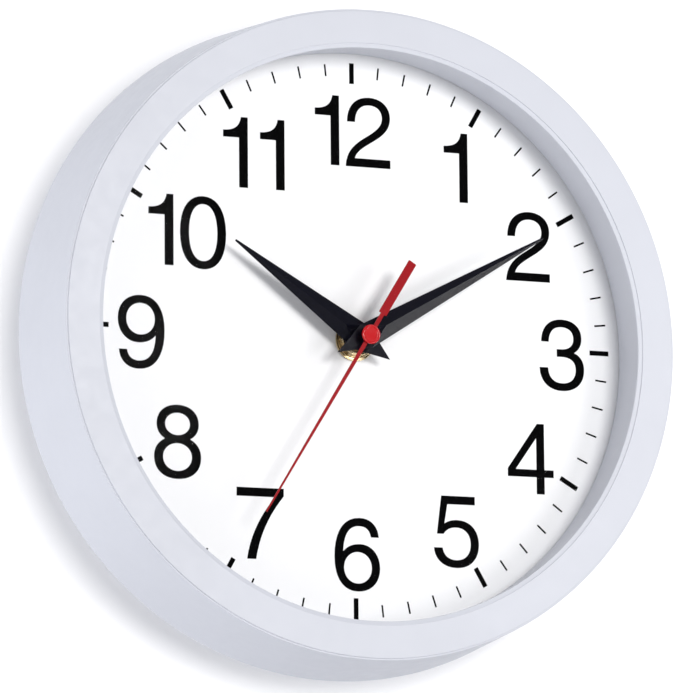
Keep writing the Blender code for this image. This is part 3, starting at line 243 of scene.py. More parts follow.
def rounded(points, radii, closed=True):
    """A polyline with each corner replaced by an arc. radii is one radius, or one for each point."""
    count = len(points)
    if isinstance(radii, (int, float)):
        radii = [radii] * count
    result = []
    for i, (point, radius) in enumerate(zip(points, radii)):
        at_end = not closed and i in (0, count - 1)
        if radius <= 0 or at_end:
            result.append(tuple(point))
            continue
        corner = Vector(point)
        before = Vector(points[i - 1]) - corner
        after = Vector(points[(i + 1) % count]) - corner
        half_angle = before.angle(after) / 2
        reach = min(radius / math.tan(half_angle), 0.45 * before.length, 0.45 * after.length)
        size = reach * math.tan(half_angle)
        inward = (before.normalized() + after.normalized()).normalized()
        middle = corner + inward * size / math.sin(half_angle)
        start = corner + before.normalized() * reach - middle
        end = corner + after.normalized() * reach - middle
        for step in range(ARC_STEPS + 1):
            result.append(tuple(middle + start.slerp(end, step / ARC_STEPS) * size))
    return result


def smooth_path(start, *moves, steps=9):
    """An outline from a start, each move a point to go straight to, or two handles and a point."""
    points = [Vector(start)]
    for move in moves:
        if isinstance(move[0], (int, float)):
            points.append(Vector(move))
            continue
        first, second, last = (Vector(p) for p in move)
        origin = points[-1]
        for step in range(1, steps + 1):
            t = step / steps
            s = 1 - t
            points.append(origin * s**3 + first * 3 * s * s * t + second * 3 * s * t * t + last * t**3)
    if (points[0] - points[-1]).length < 1e-6:
        points.pop()
    return [tuple(p) for p in points]


def oval(left, right, low, high, square=0.60):
    """A closed oval in a box, squarer than an ellipse when square is above 0.55."""
    x, y = (left + right) / 2, (low + high) / 2
    a, b = (right - left) / 2, (high - low) / 2
    flat, steep = a * (square - 0.03), b * (square + 0.03)
    return smooth_path(
        (right, y),
        ((right, y + steep), (x + flat, high), (x, high)),
        ((x - flat, high), (left, y + steep), (left, y)),
        ((left, y - steep), (x - flat, low), (x, low)),
        ((x + flat, low), (right, y - steep), (right, y)),
    )


# ---- meshes

def linked(name, data):
    """A new object in the scene."""
    thing = bpy.data.objects.new(name, data)
    bpy.context.scene.collection.objects.link(thing)
    return thing


def settled(guide, name):
    """The mesh of a guide object after its modifiers. The guide goes."""
    ready = guide.evaluated_get(bpy.context.evaluated_depsgraph_get())
    mesh = bpy.data.meshes.new_from_object(ready)
    bpy.data.objects.remove(guide)
    mesh.name = name
    return mesh


def flat_mesh(name, outlines, low, high):
    """A plate between two levels, its outlines filled with the even-odd rule."""
    curve = bpy.data.curves.new(name, "CURVE")
    curve.dimensions = "2D"
    curve.fill_mode = "BOTH"
    curve.extrude = (high - low) / 2
    for outline in outlines:
        spline = curve.splines.new("POLY")
        spline.points.add(len(outline) - 1)
        for point, (x, y) in zip(spline.points, outline):
            point.co = (x, y, 0, 1)
        spline.use_cyclic_u = True
    guide = linked(name, curve)
    mesh = settled(guide, name)
    shape = bmesh.new()
    shape.from_mesh(mesh)
    bmesh.ops.remove_doubles(shape, verts=shape.verts, dist=1e-7)
    bmesh.ops.translate(shape, verts=shape.verts, vec=(0, 0, (low + high) / 2))
    bmesh.ops.recalc_face_normals(shape, faces=shape.faces)
    shape.to_mesh(mesh)
    shape.free()
    return mesh


def lathe_mesh(name, profile, sides=ROUND_SIDES, closed=False):
    """A turned mesh from (radius, level) points, with poles where the radius is nought."""
    shape = bmesh.new()
    rings = []
    for radius, level in profile:
        if radius < 1e-7:
            rings.append([shape.verts.new((0, 0, level))] * sides)
            continue
        turns = (math.tau * k / sides for k in range(sides))
        rings.append([shape.verts.new((radius * math.cos(a), radius * math.sin(a), level)) for a in turns])
    pairs = list(zip(rings, rings[1:]))
    if closed:
        pairs.append((rings[-1], rings[0]))
    for first, second in pairs:
        for k in range(sides):
            corners = [first[k], first[(k + 1) % sides], second[(k + 1) % sides], second[k]]
            shape.faces.new(list(dict.fromkeys(corners)))
    bmesh.ops.recalc_face_normals(shape, faces=shape.faces)
    mesh = bpy.data.meshes.new(name)
    shape.to_mesh(mesh)
    shape.free()
    return mesh


def grid_mesh(name, corners, faces):
    mesh = bpy.data.meshes.new(name)
    mesh.from_pydata(corners, [], faces)
    return mesh


def modified(mesh, *settings):
    """The mesh after modifiers, each given as its type and a dictionary of settings."""
    guide = linked(mesh.name, mesh)
    for kind, values in settings:
        step = guide.modifiers.new(kind, kind)
        for key, value in values.items():
            setattr(step, key, value)
    return settled(guide, mesh.name)


def with_tool(mesh, tool_mesh, operation):
    """The mesh cut, joined or crossed with another."""
    tool = linked("tool", tool_mesh)
    result = modified(mesh, ("BOOLEAN", {"operation": operation, "solver": "EXACT", "object": tool}))
    bpy.data.objects.remove(tool)
    return result


def bevelled(mesh, width, segments=3, angle=30):
    """The mesh with its sharp edges rounded."""
    settings = {"width": width, "segments": segments, "limit_method": "ANGLE",
                "angle_limit": math.radians(angle)}
    return modified(mesh, ("BEVEL", settings))


def joined(name, meshes):
    """One mesh from several."""
    shape = bmesh.new()
    for mesh in meshes:
        shape.from_mesh(mesh)
    result = bpy.data.meshes.new(name)
    shape.to_mesh(result)
    shape.free()
    return result


def moved(mesh, matrix):
    """A copy of a mesh moved in the drawing."""
    copy = mesh.copy()
    copy.transform(matrix)
    return copy


def weigh_normals(thing):
    weighting = thing.modifiers.new("Weighted normals", "WEIGHTED_NORMAL")
    weighting.keep_sharp = True


def piece(name, mesh, look, body="case", replaces=(), place=None, sharp=40):
    """A visible piece: smooth-shaded, weighted normals, riding on a body of the frame."""
    if place is not None:
        mesh.transform(place)
    mesh.transform(UPRIGHT)
    mesh.materials.clear()
    mesh.materials.append(look)
    mesh.shade_smooth()
    mesh.set_sharp_from_angle(angle=math.radians(sharp))
    thing = linked(name, mesh)
    weigh_normals(thing)
    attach(thing, body)
    if replaces:
        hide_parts(*replaces)
    return thing


# ---- material building

def map_range(tree, value, start, end, low, high):
    """A value between start and end turned into one between low and high, each a number or a socket."""
    node = tree.nodes.new("ShaderNodeMapRange")
    inputs = {"Value": value, "From Min": start, "From Max": end, "To Min": low, "To Max": high}
    for socket, given in inputs.items():
        if isinstance(given, (int, float)):
            node.inputs[socket].default_value = given
        else:
            tree.links.new(given, node.inputs[socket])
    return node.outputs["Result"]


class Look:
    """A Principled material and the nodes that drive it."""

    def __init__(self, name, colour, roughness, metallic=0.0):
        self.material = bpy.data.materials.new(name)
        self.material.use_nodes = True
        self.tree = self.material.node_tree
        self.shader = self.tree.nodes["Principled BSDF"]
        self.set("Base Color", (*colour, 1))
        self.set("Roughness", roughness)
        self.set("Metallic", metallic)
        self.colour = colour
        self.roughness = roughness
        self.coordinates = self.tree.nodes.new("ShaderNodeTexCoord").outputs["Object"]
        self.last_normal = None

    def set(self, socket, value):
        self.shader.inputs[socket].default_value = value

    def link(self, output, socket):
        self.tree.links.new(output, socket)

    def maths(self, operation, first, second=None):
        """A Math node on sockets or numbers."""
        node = self.tree.nodes.new("ShaderNodeMath")
        node.operation = operation
        for slot, value in enumerate((first, second)):
            if value is None:
                continue
            if isinstance(value, (int, float)):
                node.inputs[slot].default_value = value
            else:
                self.link(value, node.inputs[slot])
        return node.outputs[0]

    def vector(self, operation, first, second):
        node = self.tree.nodes.new("ShaderNodeVectorMath")
        node.operation = operation
        self.link(first, node.inputs[0])
        node.inputs[1].default_value = second
        return node.outputs

    def noise(self, size, detail=2.0, stretch=(1, 1, 1), coordinates=None):
        """Noise whose features are about the given size in metres."""
        node = self.tree.nodes.new("ShaderNodeTexNoise")
        node.inputs["Scale"].default_value = 1.0
        node.inputs["Detail"].default_value = detail
        scale = tuple(s / size for s in stretch)
        self.link(self.vector("MULTIPLY", coordinates or self.coordinates, scale)[0], node.inputs["Vector"])
        return node.outputs["Fac"]

    def ranged(self, value, low, high, start=0.3, end=0.7):
        return map_range(self.tree, value, start, end, low, high)

    def mix(self, factor, first, second):
        """A colour between two."""
        node = self.tree.nodes.new("ShaderNodeMix")
        node.data_type = "RGBA"
        self.link(factor, node.inputs[0])
        for socket, value in ((node.inputs[6], first), (node.inputs[7], second)):
            if isinstance(value, tuple):
                socket.default_value = (*value, 1)
            else:
                self.link(value, socket)
        return node.outputs[2]

    def bump(self, height, depth, strength=1.0):
        """Relief of the given depth in metres, on top of any before it."""
        node = self.tree.nodes.new("ShaderNodeBump")
        node.inputs["Strength"].default_value = strength
        node.inputs["Distance"].default_value = depth
        self.link(height, node.inputs["Height"])
        if self.last_normal is not None:
            self.link(self.last_normal, node.inputs["Normal"])
        self.last_normal = node.outputs["Normal"]
        self.link(self.last_normal, self.shader.inputs["Normal"])

    def vary_colour(self, factor, amount):
        """Makes the colour a little darker and lighter with a factor between 0 and 1."""
        dark = tuple(c * (1 - amount) for c in self.colour)
        light = tuple(min(1.0, c * (1 + amount)) for c in self.colour)
        self.link(self.mix(factor, dark, light), self.shader.inputs["Base Color"])

    def vary_roughness(self, factor, amount):
        low = max(0.02, self.roughness - amount)
        high = min(1.0, self.roughness + amount)
        self.link(self.ranged(factor, low, high), self.shader.inputs["Roughness"])

    def axis_distance(self):
        """The distance from the hands' axis."""
        from_axis = self.vector("SUBTRACT", self.coordinates, (0, 0, AXIS_HEIGHT))[0]
        node = self.tree.nodes.new("ShaderNodeVectorMath")
        node.operation = "LENGTH"
        self.link(self.vector("MULTIPLY", from_axis, (1, 0, 1))[0], node.inputs[0])
        return node.outputs["Value"]


def moulded(name, colour, roughness, grain=0.0005, depth=0.000012, mottling=0.015, gloss=0.5):
    """Injection-moulded plastic: fine spark-eroded grain, faint flow mottling, uneven gloss."""
    look = Look(name, colour, roughness)
    fine = look.noise(grain, 3.0)
    broad = look.noise(0.03, 2.0)
    look.vary_colour(look.ranged(broad, 0, 1), mottling)
    look.vary_roughness(look.noise(0.004, 3.0), 0.05)
    look.bump(fine, depth)
    look.bump(broad, 0.00005)
    look.set("IOR", 1.5)
    look.set("Specular IOR Level", gloss)
    return look.material


def lacquered(name, colour, roughness, gloss):
    """Sprayed lacquer on sheet metal: a faint orange peel under a gloss coat."""
    look = Look(name, colour, roughness)
    look.bump(look.noise(0.0009, 2.0), 0.000003)
    look.vary_colour(look.ranged(look.noise(0.006, 3.0), 0, 1), 0.05)
    look.vary_roughness(look.noise(0.0015, 3.0), 0.02)
    look.set("Specular IOR Level", gloss)
    return look.material


def turned_metal(name, colour, roughness, ring_size=0.00045):
    """Metal turned about the hands' axis, with fine tool rings."""
    look = Look(name, colour, roughness, 1.0)
    distance = look.axis_distance()
    node = look.tree.nodes.new("ShaderNodeTexNoise")
    node.noise_dimensions = "1D"
    node.inputs["Scale"].default_value = 1 / ring_size
    node.inputs["Detail"].default_value = 3.0
    look.link(distance, node.inputs["W"])
    rings = node.outputs["Fac"]
    look.vary_colour(look.ranged(rings, 0, 1), 0.35)
    look.vary_roughness(rings, 0.10)
    look.bump(rings, 0.00006)
    look.bump(look.noise(0.0012, 3.0), 0.00001)
    return look.material


def sheet_metal(name, colour, roughness, brushing=(1, 1, 12)):
    """Plated sheet with a faint brushed direction and handling marks."""
    look = Look(name, colour, roughness, 1.0)
    brushed = look.noise(0.004, 4.0, brushing)
    look.vary_colour(look.ranged(look.noise(0.008, 3.0), 0, 1), 0.06)
    look.vary_roughness(brushed, 0.07)
    look.bump(brushed, 0.000012)
    return look.material


def dial_card():
    """The dial: white coated card with a faint fibre grain."""
    look = Look("dial_card", (0.855, 0.858, 0.868), 0.6)
    look.set("Specular IOR Level", 0.2)
    fibre = look.noise(0.0011, 4.0)
    look.vary_colour(look.ranged(fibre, 0, 1), 0.006)
    look.vary_roughness(look.noise(0.006, 3.0), 0.05)
    look.bump(fibre, 0.000008)
    return look.material


def grained(name, colour, roughness, grain, changes, depth, gloss=0.5):
    """A surface whose colour, roughness and relief follow one grain. grain is what noise takes."""
    look = Look(name, colour, roughness)
    pattern = look.noise(*grain)
    look.vary_colour(look.ranged(pattern, 0, 1), changes[0])
    look.vary_roughness(pattern, changes[1])
    look.bump(pattern, depth)
    look.set("Specular IOR Level", gloss)
    return look.material


def clear_acrylic():
    """The lens: thin, clear and almost free of glare, with the faintest ripple."""
    look = Look("clear_acrylic", (0.03, 0.03, 0.035), 0.04)
    look.bump(look.noise(0.02, 1.0), 0.00002)
    look.set("Alpha", 0.01)
    look.set("IOR", 1.49)
    look.set("Specular IOR Level", 0.25)
    return look.material


def battery_label():
    """A printed sleeve: a plain band at one end of a deeper colour."""
    look = Look("battery_label", (0.03, 0.12, 0.36), 0.32)
    parts = look.tree.nodes.new("ShaderNodeSeparateXYZ")
    look.link(look.coordinates, parts.inputs[0])
    band = look.ranged(parts.outputs["X"], 0, 1, 0.0130, 0.0133)
    stripe = look.maths("MULTIPLY", look.ranged(parts.outputs["X"], 0, 1, 0.0108, 0.0110),
                        look.ranged(parts.outputs["X"], 1, 0, 0.0118, 0.0120))
    base = look.mix(band, (0.03, 0.12, 0.36), (0.62, 0.64, 0.66))
    base = look.mix(stripe, base, (0.75, 0.76, 0.78))
    look.link(base, look.shader.inputs["Base Color"])
    look.vary_roughness(look.noise(0.003, 3.0), 0.06)
    look.bump(look.noise(0.006, 2.0), 0.00003)
    look.set("Coat Weight", 0.4)
    look.set("Coat Roughness", 0.12)
    return look.material


def copper_wire():
    """Fine enamelled wire wound round the bobbin, turn beside turn along X."""
    look = Look("copper_wire", (0.62, 0.24, 0.10), 0.32, 0.9)
    node = look.tree.nodes.new("ShaderNodeTexWave")
    node.bands_direction = "X"
    node.inputs["Scale"].default_value = 1100
    node.inputs["Distortion"].default_value = 0.6
    look.link(look.coordinates, node.inputs["Vector"])
    look.vary_colour(node.outputs["Fac"], 0.25)
    look.vary_roughness(look.noise(0.002, 2.0), 0.06)
    look.bump(node.outputs["Fac"], 0.00008)
    return look.material


def make_looks():
    return {
        "white": moulded("white_moulding", (0.524, 0.538, 0.590), 0.42, gloss=0.3),
        "black": moulded("black_moulding", (0.016, 0.016, 0.018), 0.42, mottling=0.08),
        "natural": moulded("natural_moulding", (0.70, 0.67, 0.58), 0.38),
        "rubber": moulded("rubber_moulding", (0.02, 0.02, 0.02), 0.8, 0.0008, 0.00002),
        "card": dial_card(),
        # Screen print, slightly uneven in cover and gloss
        "ink": grained("print_ink", (0.0006, 0.0006, 0.0007), 0.6, (0.0008, 3.0), (0.25, 0.08), 0.000006,
                       0.012),
        "lens": clear_acrylic(),
        "hand_black": lacquered("black_lacquer", (0.0038, 0.0038, 0.0080), 0.17, 0.12),
        "hand_red": lacquered("red_lacquer", (0.28, 0.002, 0.006), 0.30, 0.06),
        "red_gloss": moulded("red_moulding", (0.46, 0.003, 0.006), 0.10, 0.0007, 0.000002, 0.03, 0.42),
        "brass": turned_metal("turned_brass", (0.60, 0.48, 0.29), 0.30),
        "steel": sheet_metal("plated_steel", (0.58, 0.59, 0.61), 0.30),
        "iron": sheet_metal("motor_iron", (0.34, 0.34, 0.35), 0.42),
        "magnet": moulded("bonded_magnet", (0.03, 0.03, 0.035), 0.5),
        "copper": copper_wire(),
        # Woven board under lacquer
        "board": grained("circuit_laminate", (0.30, 0.21, 0.09), 0.4, (0.0006, 2.0, (1, 1, 3)), (0.12, 0.06),
                         0.00001),
        "label": battery_label(),
    }


# ---- case

def case_profile():
    """The moulded case's section, from the lip round the face, skirt and well."""
    skirt_front = CASE_RADIUS - SKIRT_FLARE
    face_outer = skirt_front - STEP_WIDTH
    face_inner = face_outer - FACE_WIDTH
    lip = face_inner - LIP_SLOPE_WIDTH
    face_back = CASE_FRONT - WALL_THICKNESS
    throat_back = face_inner + THROAT_DRAFT
    well_back = DIAL_FRONT + GAP
    corners = [
        ((lip, LENS_FRONT + GAP), 0),
        ((lip, CASE_FRONT - LIP_SLOPE_DEPTH), EDGE_ROUND),
        ((face_inner, CASE_FRONT - LIP_STEP), 0),
        ((face_inner, CASE_FRONT), FACE_ROUND * INNER_FACE_ROUND),
        ((face_outer, CASE_FRONT), FACE_ROUND),
        ((face_outer, CASE_FRONT - STEP_DEPTH), 0),
        ((skirt_front, CASE_FRONT - STEP_DEPTH), FACE_ROUND),
        ((CASE_RADIUS, 0), EDGE_ROUND),
        ((CASE_RADIUS - WALL_THICKNESS, 0), EDGE_ROUND),
        ((skirt_front - WALL_THICKNESS, face_back), EDGE_ROUND),
        ((throat_back + THROAT_THICKNESS, face_back), EDGE_ROUND),
        ((throat_back + THROAT_THICKNESS, well_back), EDGE_ROUND),
        ((throat_back, well_back), EDGE_ROUND),
        ((face_inner, LENS_FRONT + GAP), 0),
    ]
    return rounded([point for point, _ in corners], [radius for _, radius in corners])


def make_case(looks):
    mesh = lathe_mesh("case_moulding", case_profile(), CASE_SIDES, closed=True)
    piece("case_moulding", mesh, looks["white"], replaces=["front_bezel"], sharp=50)


def make_lens(looks):
    profile = rectangle(0, LENS_RADIUS, LENS_FRONT, LENS_BACK)
    mesh = lathe_mesh("lens_disc", rounded(profile, LENS_ROUND, closed=False), CASE_SIDES)
    piece("lens_disc", mesh, looks["lens"], replaces=["lens"])


def make_dial(looks):
    hole = half_width("threaded_bushing") + GAP
    profile = rectangle(hole, DIAL_RADIUS, DIAL_FRONT, DIAL_BACK)
    mesh = lathe_mesh("dial_disc", profile, CASE_SIDES, closed=True)
    piece("dial_disc", mesh, looks["card"], replaces=["dial"])


# ---- printed numbers and marks

PRINTED = Matrix.Translation((*PRINT_OFFSET, 0))

# Outlines of the digits in millimetres, from the lower left corner of each
SIX_OUTER = smooth_path(
    (18.2, 20.6),
    ((17.9, 25.1), (14.9, 27.8), (10.4, 27.8)), ((3.4, 27.8), (0.15, 21.6), (0.15, 12.9)),
    ((0.15, 4.6), (3.6, 0), (9.6, 0)), ((15.1, 0), (18.65, 3.7), (18.65, 9.0)),
    ((18.65, 14.1), (15.3, 17.9), (10.6, 17.9)), ((7.6, 17.9), (5.3, 16.9), (3.7, 15.0)),
    ((3.9, 21.1), (6.0, 24.7), (10.2, 24.7)), ((13.0, 24.7), (14.6, 23.3), (15.0, 20.6)),
)
SIX_INNER = oval(4.0, 15.3, 3.0, 14.9, 0.57)
NINE = [[(18.65 - x, 27.8 - y) for x, y in outline] for outline in (SIX_OUTER, SIX_INNER)]
DIGITS = {
    "0": [oval(0.15, 18.6, 0, 27.8, 0.63), oval(3.75, 15.1, 3.1, 24.8, 0.63)],
    "1": [smooth_path(
        (0, 19.1), (6.4, 19.1), (6.4, 0), (9.95, 0), (9.95, 27.0), (7.2, 27.0),
        ((6.7, 23.6), (4.7, 21.75), (0, 21.75)))],
    "2": [smooth_path(
        (0, 0), (18.45, 0), (18.45, 3.3), (3.8, 3.3),
        ((4.6, 6.2), (8.0, 8.0), (11.3, 10.1)), ((15.6, 12.8), (18.45, 15.2), (18.45, 19.6)),
        ((18.45, 24.1), (14.9, 27.1), (9.9, 27.1)), ((4.3, 27.1), (0.7, 23.4), (0.7, 17.3)),
        (4.0, 17.3),
        ((4.0, 21.6), (6.2, 24.1), (9.9, 24.1)), ((13.1, 24.1), (15.1, 22.2), (15.1, 19.3)),
        ((15.1, 16.2), (12.4, 14.2), (8.8, 11.9)),
        ((3.4, 8.6), (0.4, 5.8), (0, 0)))],
    "3": [smooth_path(
        (0, 8.9),
        ((0.1, 3.4), (3.7, 0), (9.4, 0)), ((15.2, 0), (18.8, 3.3), (18.8, 8.6)),
        ((18.8, 11.8), (17.2, 14.1), (14.6, 15.0)), ((16.7, 16.1), (17.85, 18.1), (17.85, 20.7)),
        ((17.85, 25.1), (14.5, 27.8), (9.4, 27.8)), ((4.2, 27.8), (0.9, 24.5), (0.8, 18.9)),
        (4.0, 18.9),
        ((4.1, 22.7), (5.9, 24.8), (9.3, 24.8)), ((12.5, 24.8), (14.4, 23.2), (14.4, 20.5)),
        ((14.4, 17.7), (12.5, 16.2), (9.2, 16.2)),
        (7.3, 16.2), (7.3, 13.25), (9.2, 13.25),
        ((13.2, 13.25), (15.25, 11.6), (15.25, 8.5)), ((15.25, 5.0), (13.1, 3.0), (9.5, 3.0)),
        ((5.9, 3.0), (3.7, 5.1), (3.6, 8.9)))],
    "4": [
        [(12.4, 27.1), (15.35, 27.1), (15.35, 9.4), (19.2, 9.4), (19.2, 6.5), (15.35, 6.5), (15.35, 0),
         (12.0, 0), (12.0, 6.5), (0, 6.5), (0, 9.6)],
        [(12.0, 21.6), (12.0, 9.4), (3.3, 9.4)]],
    "5": [smooth_path(
        (3.2, 27.4), (17.1, 27.4), (17.1, 24.2), (5.7, 24.2), (4.4, 16.8),
        ((5.9, 17.8), (7.6, 18.3), (9.6, 18.3)), ((15.2, 18.3), (18.6, 14.6), (18.6, 9.2)),
        ((18.6, 3.7), (15.0, 0), (9.3, 0)), ((3.9, 0), (0.3, 3.0), (0, 7.6)),
        (3.6, 7.6),
        ((3.9, 4.8), (6.0, 3.0), (9.2, 3.0)), ((12.9, 3.0), (15.2, 5.4), (15.2, 9.2)),
        ((15.2, 13.0), (12.9, 15.4), (9.2, 15.4)), ((6.9, 15.4), (5.2, 14.6), (4.0, 12.85)),
        (1.3, 12.85))],
    "6": [SIX_OUTER, SIX_INNER],
    "7": [smooth_path(
        (0, 26.75), (18.9, 26.75), (18.9, 23.9),
        ((13.1, 16.9), (9.2, 9.2), (7.7, 0)),
        (4.1, 0),
        ((5.3, 8.4), (9.3, 16.3), (15.4, 23.45)),
        (0, 23.45))],
    "8": [
        smooth_path(
            (4.35, 15.0),
            ((1.6, 13.7), (0, 11.4), (0, 8.2)), ((0, 3.2), (3.6, 0), (9.3, 0)),
            ((15.0, 0), (18.65, 3.2), (18.65, 8.2)), ((18.65, 11.4), (17.0, 13.7), (14.35, 15.0)),
            ((16.6, 16.2), (17.75, 18.2), (17.75, 20.6)),
            ((17.75, 25.0), (14.4, 27.8), (9.35, 27.8)), ((4.3, 27.8), (1.05, 25.0), (1.05, 20.6)),
            ((1.05, 18.2), (2.1, 16.2), (4.35, 15.0))),
        oval(4.4, 14.25, 16.4, 24.8, 0.56),
        oval(3.55, 15.0, 3.0, 13.4, 0.56)],
    "9": NINE,
}


def make_numbers(looks):
    """The twelve hour numbers, each digit standing upright on the dial."""
    mm = 0.001
    # For each number, its digits with the left and bottom edge of each on the dial
    places = {
        12: (("1", -15.2, 66.35), ("2", -2.7, 66.35)),
        1: (("1", 37.95, 55.3),),
        2: (("2", 63.5, 26.4),),
        3: (("3", 77.05, -15.45),),
        4: (("4", 63.1, -55.8),),
        5: (("5", 32.05, -85.4),),
        6: (("6", -8.75, -95.75),),
        7: (("7", -47.8, -85.05),),
        8: (("8", -80.5, -56.45),),
        9: (("9", -94.7, -15.95),),
        10: (("1", -82.5, 23.8), ("0", -70.1, 23.0)),
        11: (("1", -52.5, 55.15), ("1", -37.6, 55.15)),
    }
    for number, digits in places.items():
        meshes = []
        for digit, left, low in digits:
            placed = [[((x + left) * mm, (y + low) * mm) for x, y in outline] for outline in DIGITS[digit]]
            meshes.append(flat_mesh(f"digit_{digit}", placed, DIAL_FRONT, DIAL_FRONT + PRINT_THICKNESS))
        name = f"number_{number}"
        piece(name, joined(name, meshes), looks["ink"], place=PRINTED)


def mark_outline(mark, degrees):
    """A radial bar on the dial, its direction clockwise from twelve."""
    width, length, radius = mark
    turn = Matrix.Rotation(-math.radians(degrees), 2)
    half = width / 2
    low, high = radius - length / 2, radius + length / 2
    return [tuple(turn @ Vector(corner)) for corner in rectangle(-half, half, low, high)]


def make_marks(looks):
    top = DIAL_FRONT + PRINT_THICKNESS
    hours = [mark_outline(HOUR_MARK, 30 * k) for k in range(12)]
    minutes = [mark_outline(MINUTE_MARK, 6 * k) for k in range(60) if k % 5]
    for name, outlines in (("hour_marks", hours), ("minute_marks", minutes)):
        piece(name, flat_mesh(name, outlines, DIAL_FRONT, top), looks["ink"], place=PRINTED)


# ---- hands

def turned_to(degrees):
    """Turns a hand drawn at twelve to its direction, clockwise."""
    return Matrix.Rotation(-math.radians(degrees), 4, "Z")


def make_ridged_hand(name, node, look, body, shape):
    """A pressed hand: two facets meeting in a ridge that runs out towards the hub, and a pointed tail."""
    reach, tail, half, degrees, pipe = shape
    level = levels(node)[1] - HAND_RIDGE
    tip = HAND_TIP_HALF_WIDTH
    corners = [
        (tip, reach, 0), (-tip, reach, 0), (0, reach, HAND_RIDGE * tip / half), (half, 0, 0), (-half, 0, 0),
        (0, -tail, 0), (0, RIDGE_START, 0), (0, RIDGE_START + RIDGE_RISE, HAND_RIDGE),
    ]
    faces = [(3, 0, 2, 7), (7, 2, 1, 4), (3, 7, 6), (6, 7, 4), (6, 4, 5, 3)]
    sheet = grid_mesh(name, corners, faces)
    sheet = modified(sheet, ("SOLIDIFY", {"thickness": HAND_SHEET, "offset": -1}))
    through = 10 * CUT
    cutter = lathe_mesh("pipe", rectangle(0, pipe, through, -through))
    sheet = with_tool(sheet, cutter, "DIFFERENCE")
    sheet = bevelled(sheet, HAND_EDGE, 2, 50)
    hub_low = levels(node)[0] - level
    hub = pipe + HAND_COLLAR
    profile = rounded(rectangle(pipe, hub, -HAND_SHEET, hub_low), COLLAR_ROUND)
    collar = lathe_mesh("collar", profile, closed=True)
    place = Matrix.Translation((0, 0, level)) @ turned_to(degrees)
    piece(name, joined(name, [sheet, collar]), look, body, [node], place, sharp=12)


def make_second_hand(looks):
    """The red hand: a tapering pointer, a bar counterweight, and a turned cap with a raised rim."""
    low, high = levels("second_hand")
    hub = SECOND_HUB_RADIUS
    pointer = SECOND_HALF_WIDTH
    weight = WEIGHT_HALF_WIDTH
    tip = SECOND_TIP_HALF_WIDTH
    side = math.degrees(math.asin(pointer / hub))
    outline = [(tip, SECOND_REACH), (-tip, SECOND_REACH)]
    outline += arc(hub, 90 + side, 270 - side, 16)
    outline += rounded(
        [(-pointer, -WEIGHT_START), (-weight, -WEIGHT_START), (-weight, -SECOND_TAIL), (weight, -SECOND_TAIL),
         (weight, -WEIGHT_START), (pointer, -WEIGHT_START)],
        WEIGHT_ROUND, closed=False)
    outline += arc(hub, -90 + side, 90 - side, 16)
    hole = circle(half_width("second_arbor"), SMALL_SIDES)
    mesh = bevelled(flat_mesh("second_pointer", [outline, hole], low, high), SECOND_EDGE, 3, 50)
    piece("second_pointer", mesh, looks["hand_red"], "second", ["second_hand"],
          turned_to(SECOND_DIRECTION), 30)

    back, front = levels("second_hand_cap")
    radius = half_width("second_hand_cap")
    rim = (front - back) * CAP_RIM_HEIGHT
    profile = [(0, front - rim * CAP_DISH), (radius * CAP_DISH_RADIUS, front - rim),
               (radius * CAP_CREST_RADIUS, front), (radius, front - rim), (radius, back), (0, back)]
    mesh = lathe_mesh("second_cap", rounded(profile, CAP_ROUNDS, closed=False))
    piece("second_cap", mesh, looks["red_gloss"], "second", ["second_hand_cap"], sharp=60)


# ---- centre hardware

def make_hardware(looks):
    """Threaded bushing, brass and rubber washers and the chamfered nut."""
    outer = half_width("threaded_bushing")
    back, front = levels("threaded_bushing")
    root = outer - THREAD_DEPTH
    profile = [(BUSHING_BORE, front), (root, front)]
    level = front - THREAD_START
    while level > levels("brass_washer")[0]:
        profile += [(root, level), (outer, level - THREAD_PITCH / 2)]
        level -= THREAD_PITCH
    profile += [(root, level), (outer, level), (outer, back), (BUSHING_BORE, back)]
    mesh = lathe_mesh("bushing_thread", profile, closed=True)
    piece("bushing_thread", mesh, looks["brass"], replaces=["threaded_bushing"])

    hole = outer + GAP / 2
    for name, node, look, slot in (("washer_brass", "brass_washer", "brass", "brass"),
                                   ("washer_rubber", "rubber_washer", "rubber", "rubber")):
        low, high = levels(node)
        radius = half_width(node)
        profile = rounded(rectangle(hole, radius, high, low), WASHER_ROUND)
        mesh = lathe_mesh(name, profile, closed=True)
        piece(name, mesh, looks[look], replaces=[node])

    low, high = levels("hex_nut")
    corner = half_width("hex_nut")
    prism = flat_mesh("nut", [circle(corner, 6), circle(hole)], low, high)
    flats = corner * math.cos(math.radians(30))
    chamfer = (corner - flats) * NUT_CHAMFER
    face, clear = flats * NUT_FACE, corner * NUT_CLEAR
    profile = [(0, high), (face, high), (clear, high - chamfer), (clear, low + chamfer), (face, low),
               (0, low)]
    mesh = with_tool(prism, lathe_mesh("nut_chamfer", profile), "INTERSECT")
    piece("nut", bevelled(mesh, NUT_EDGE, 2), looks["brass"], replaces=["hex_nut"], sharp=30)


# ---- back of the clock

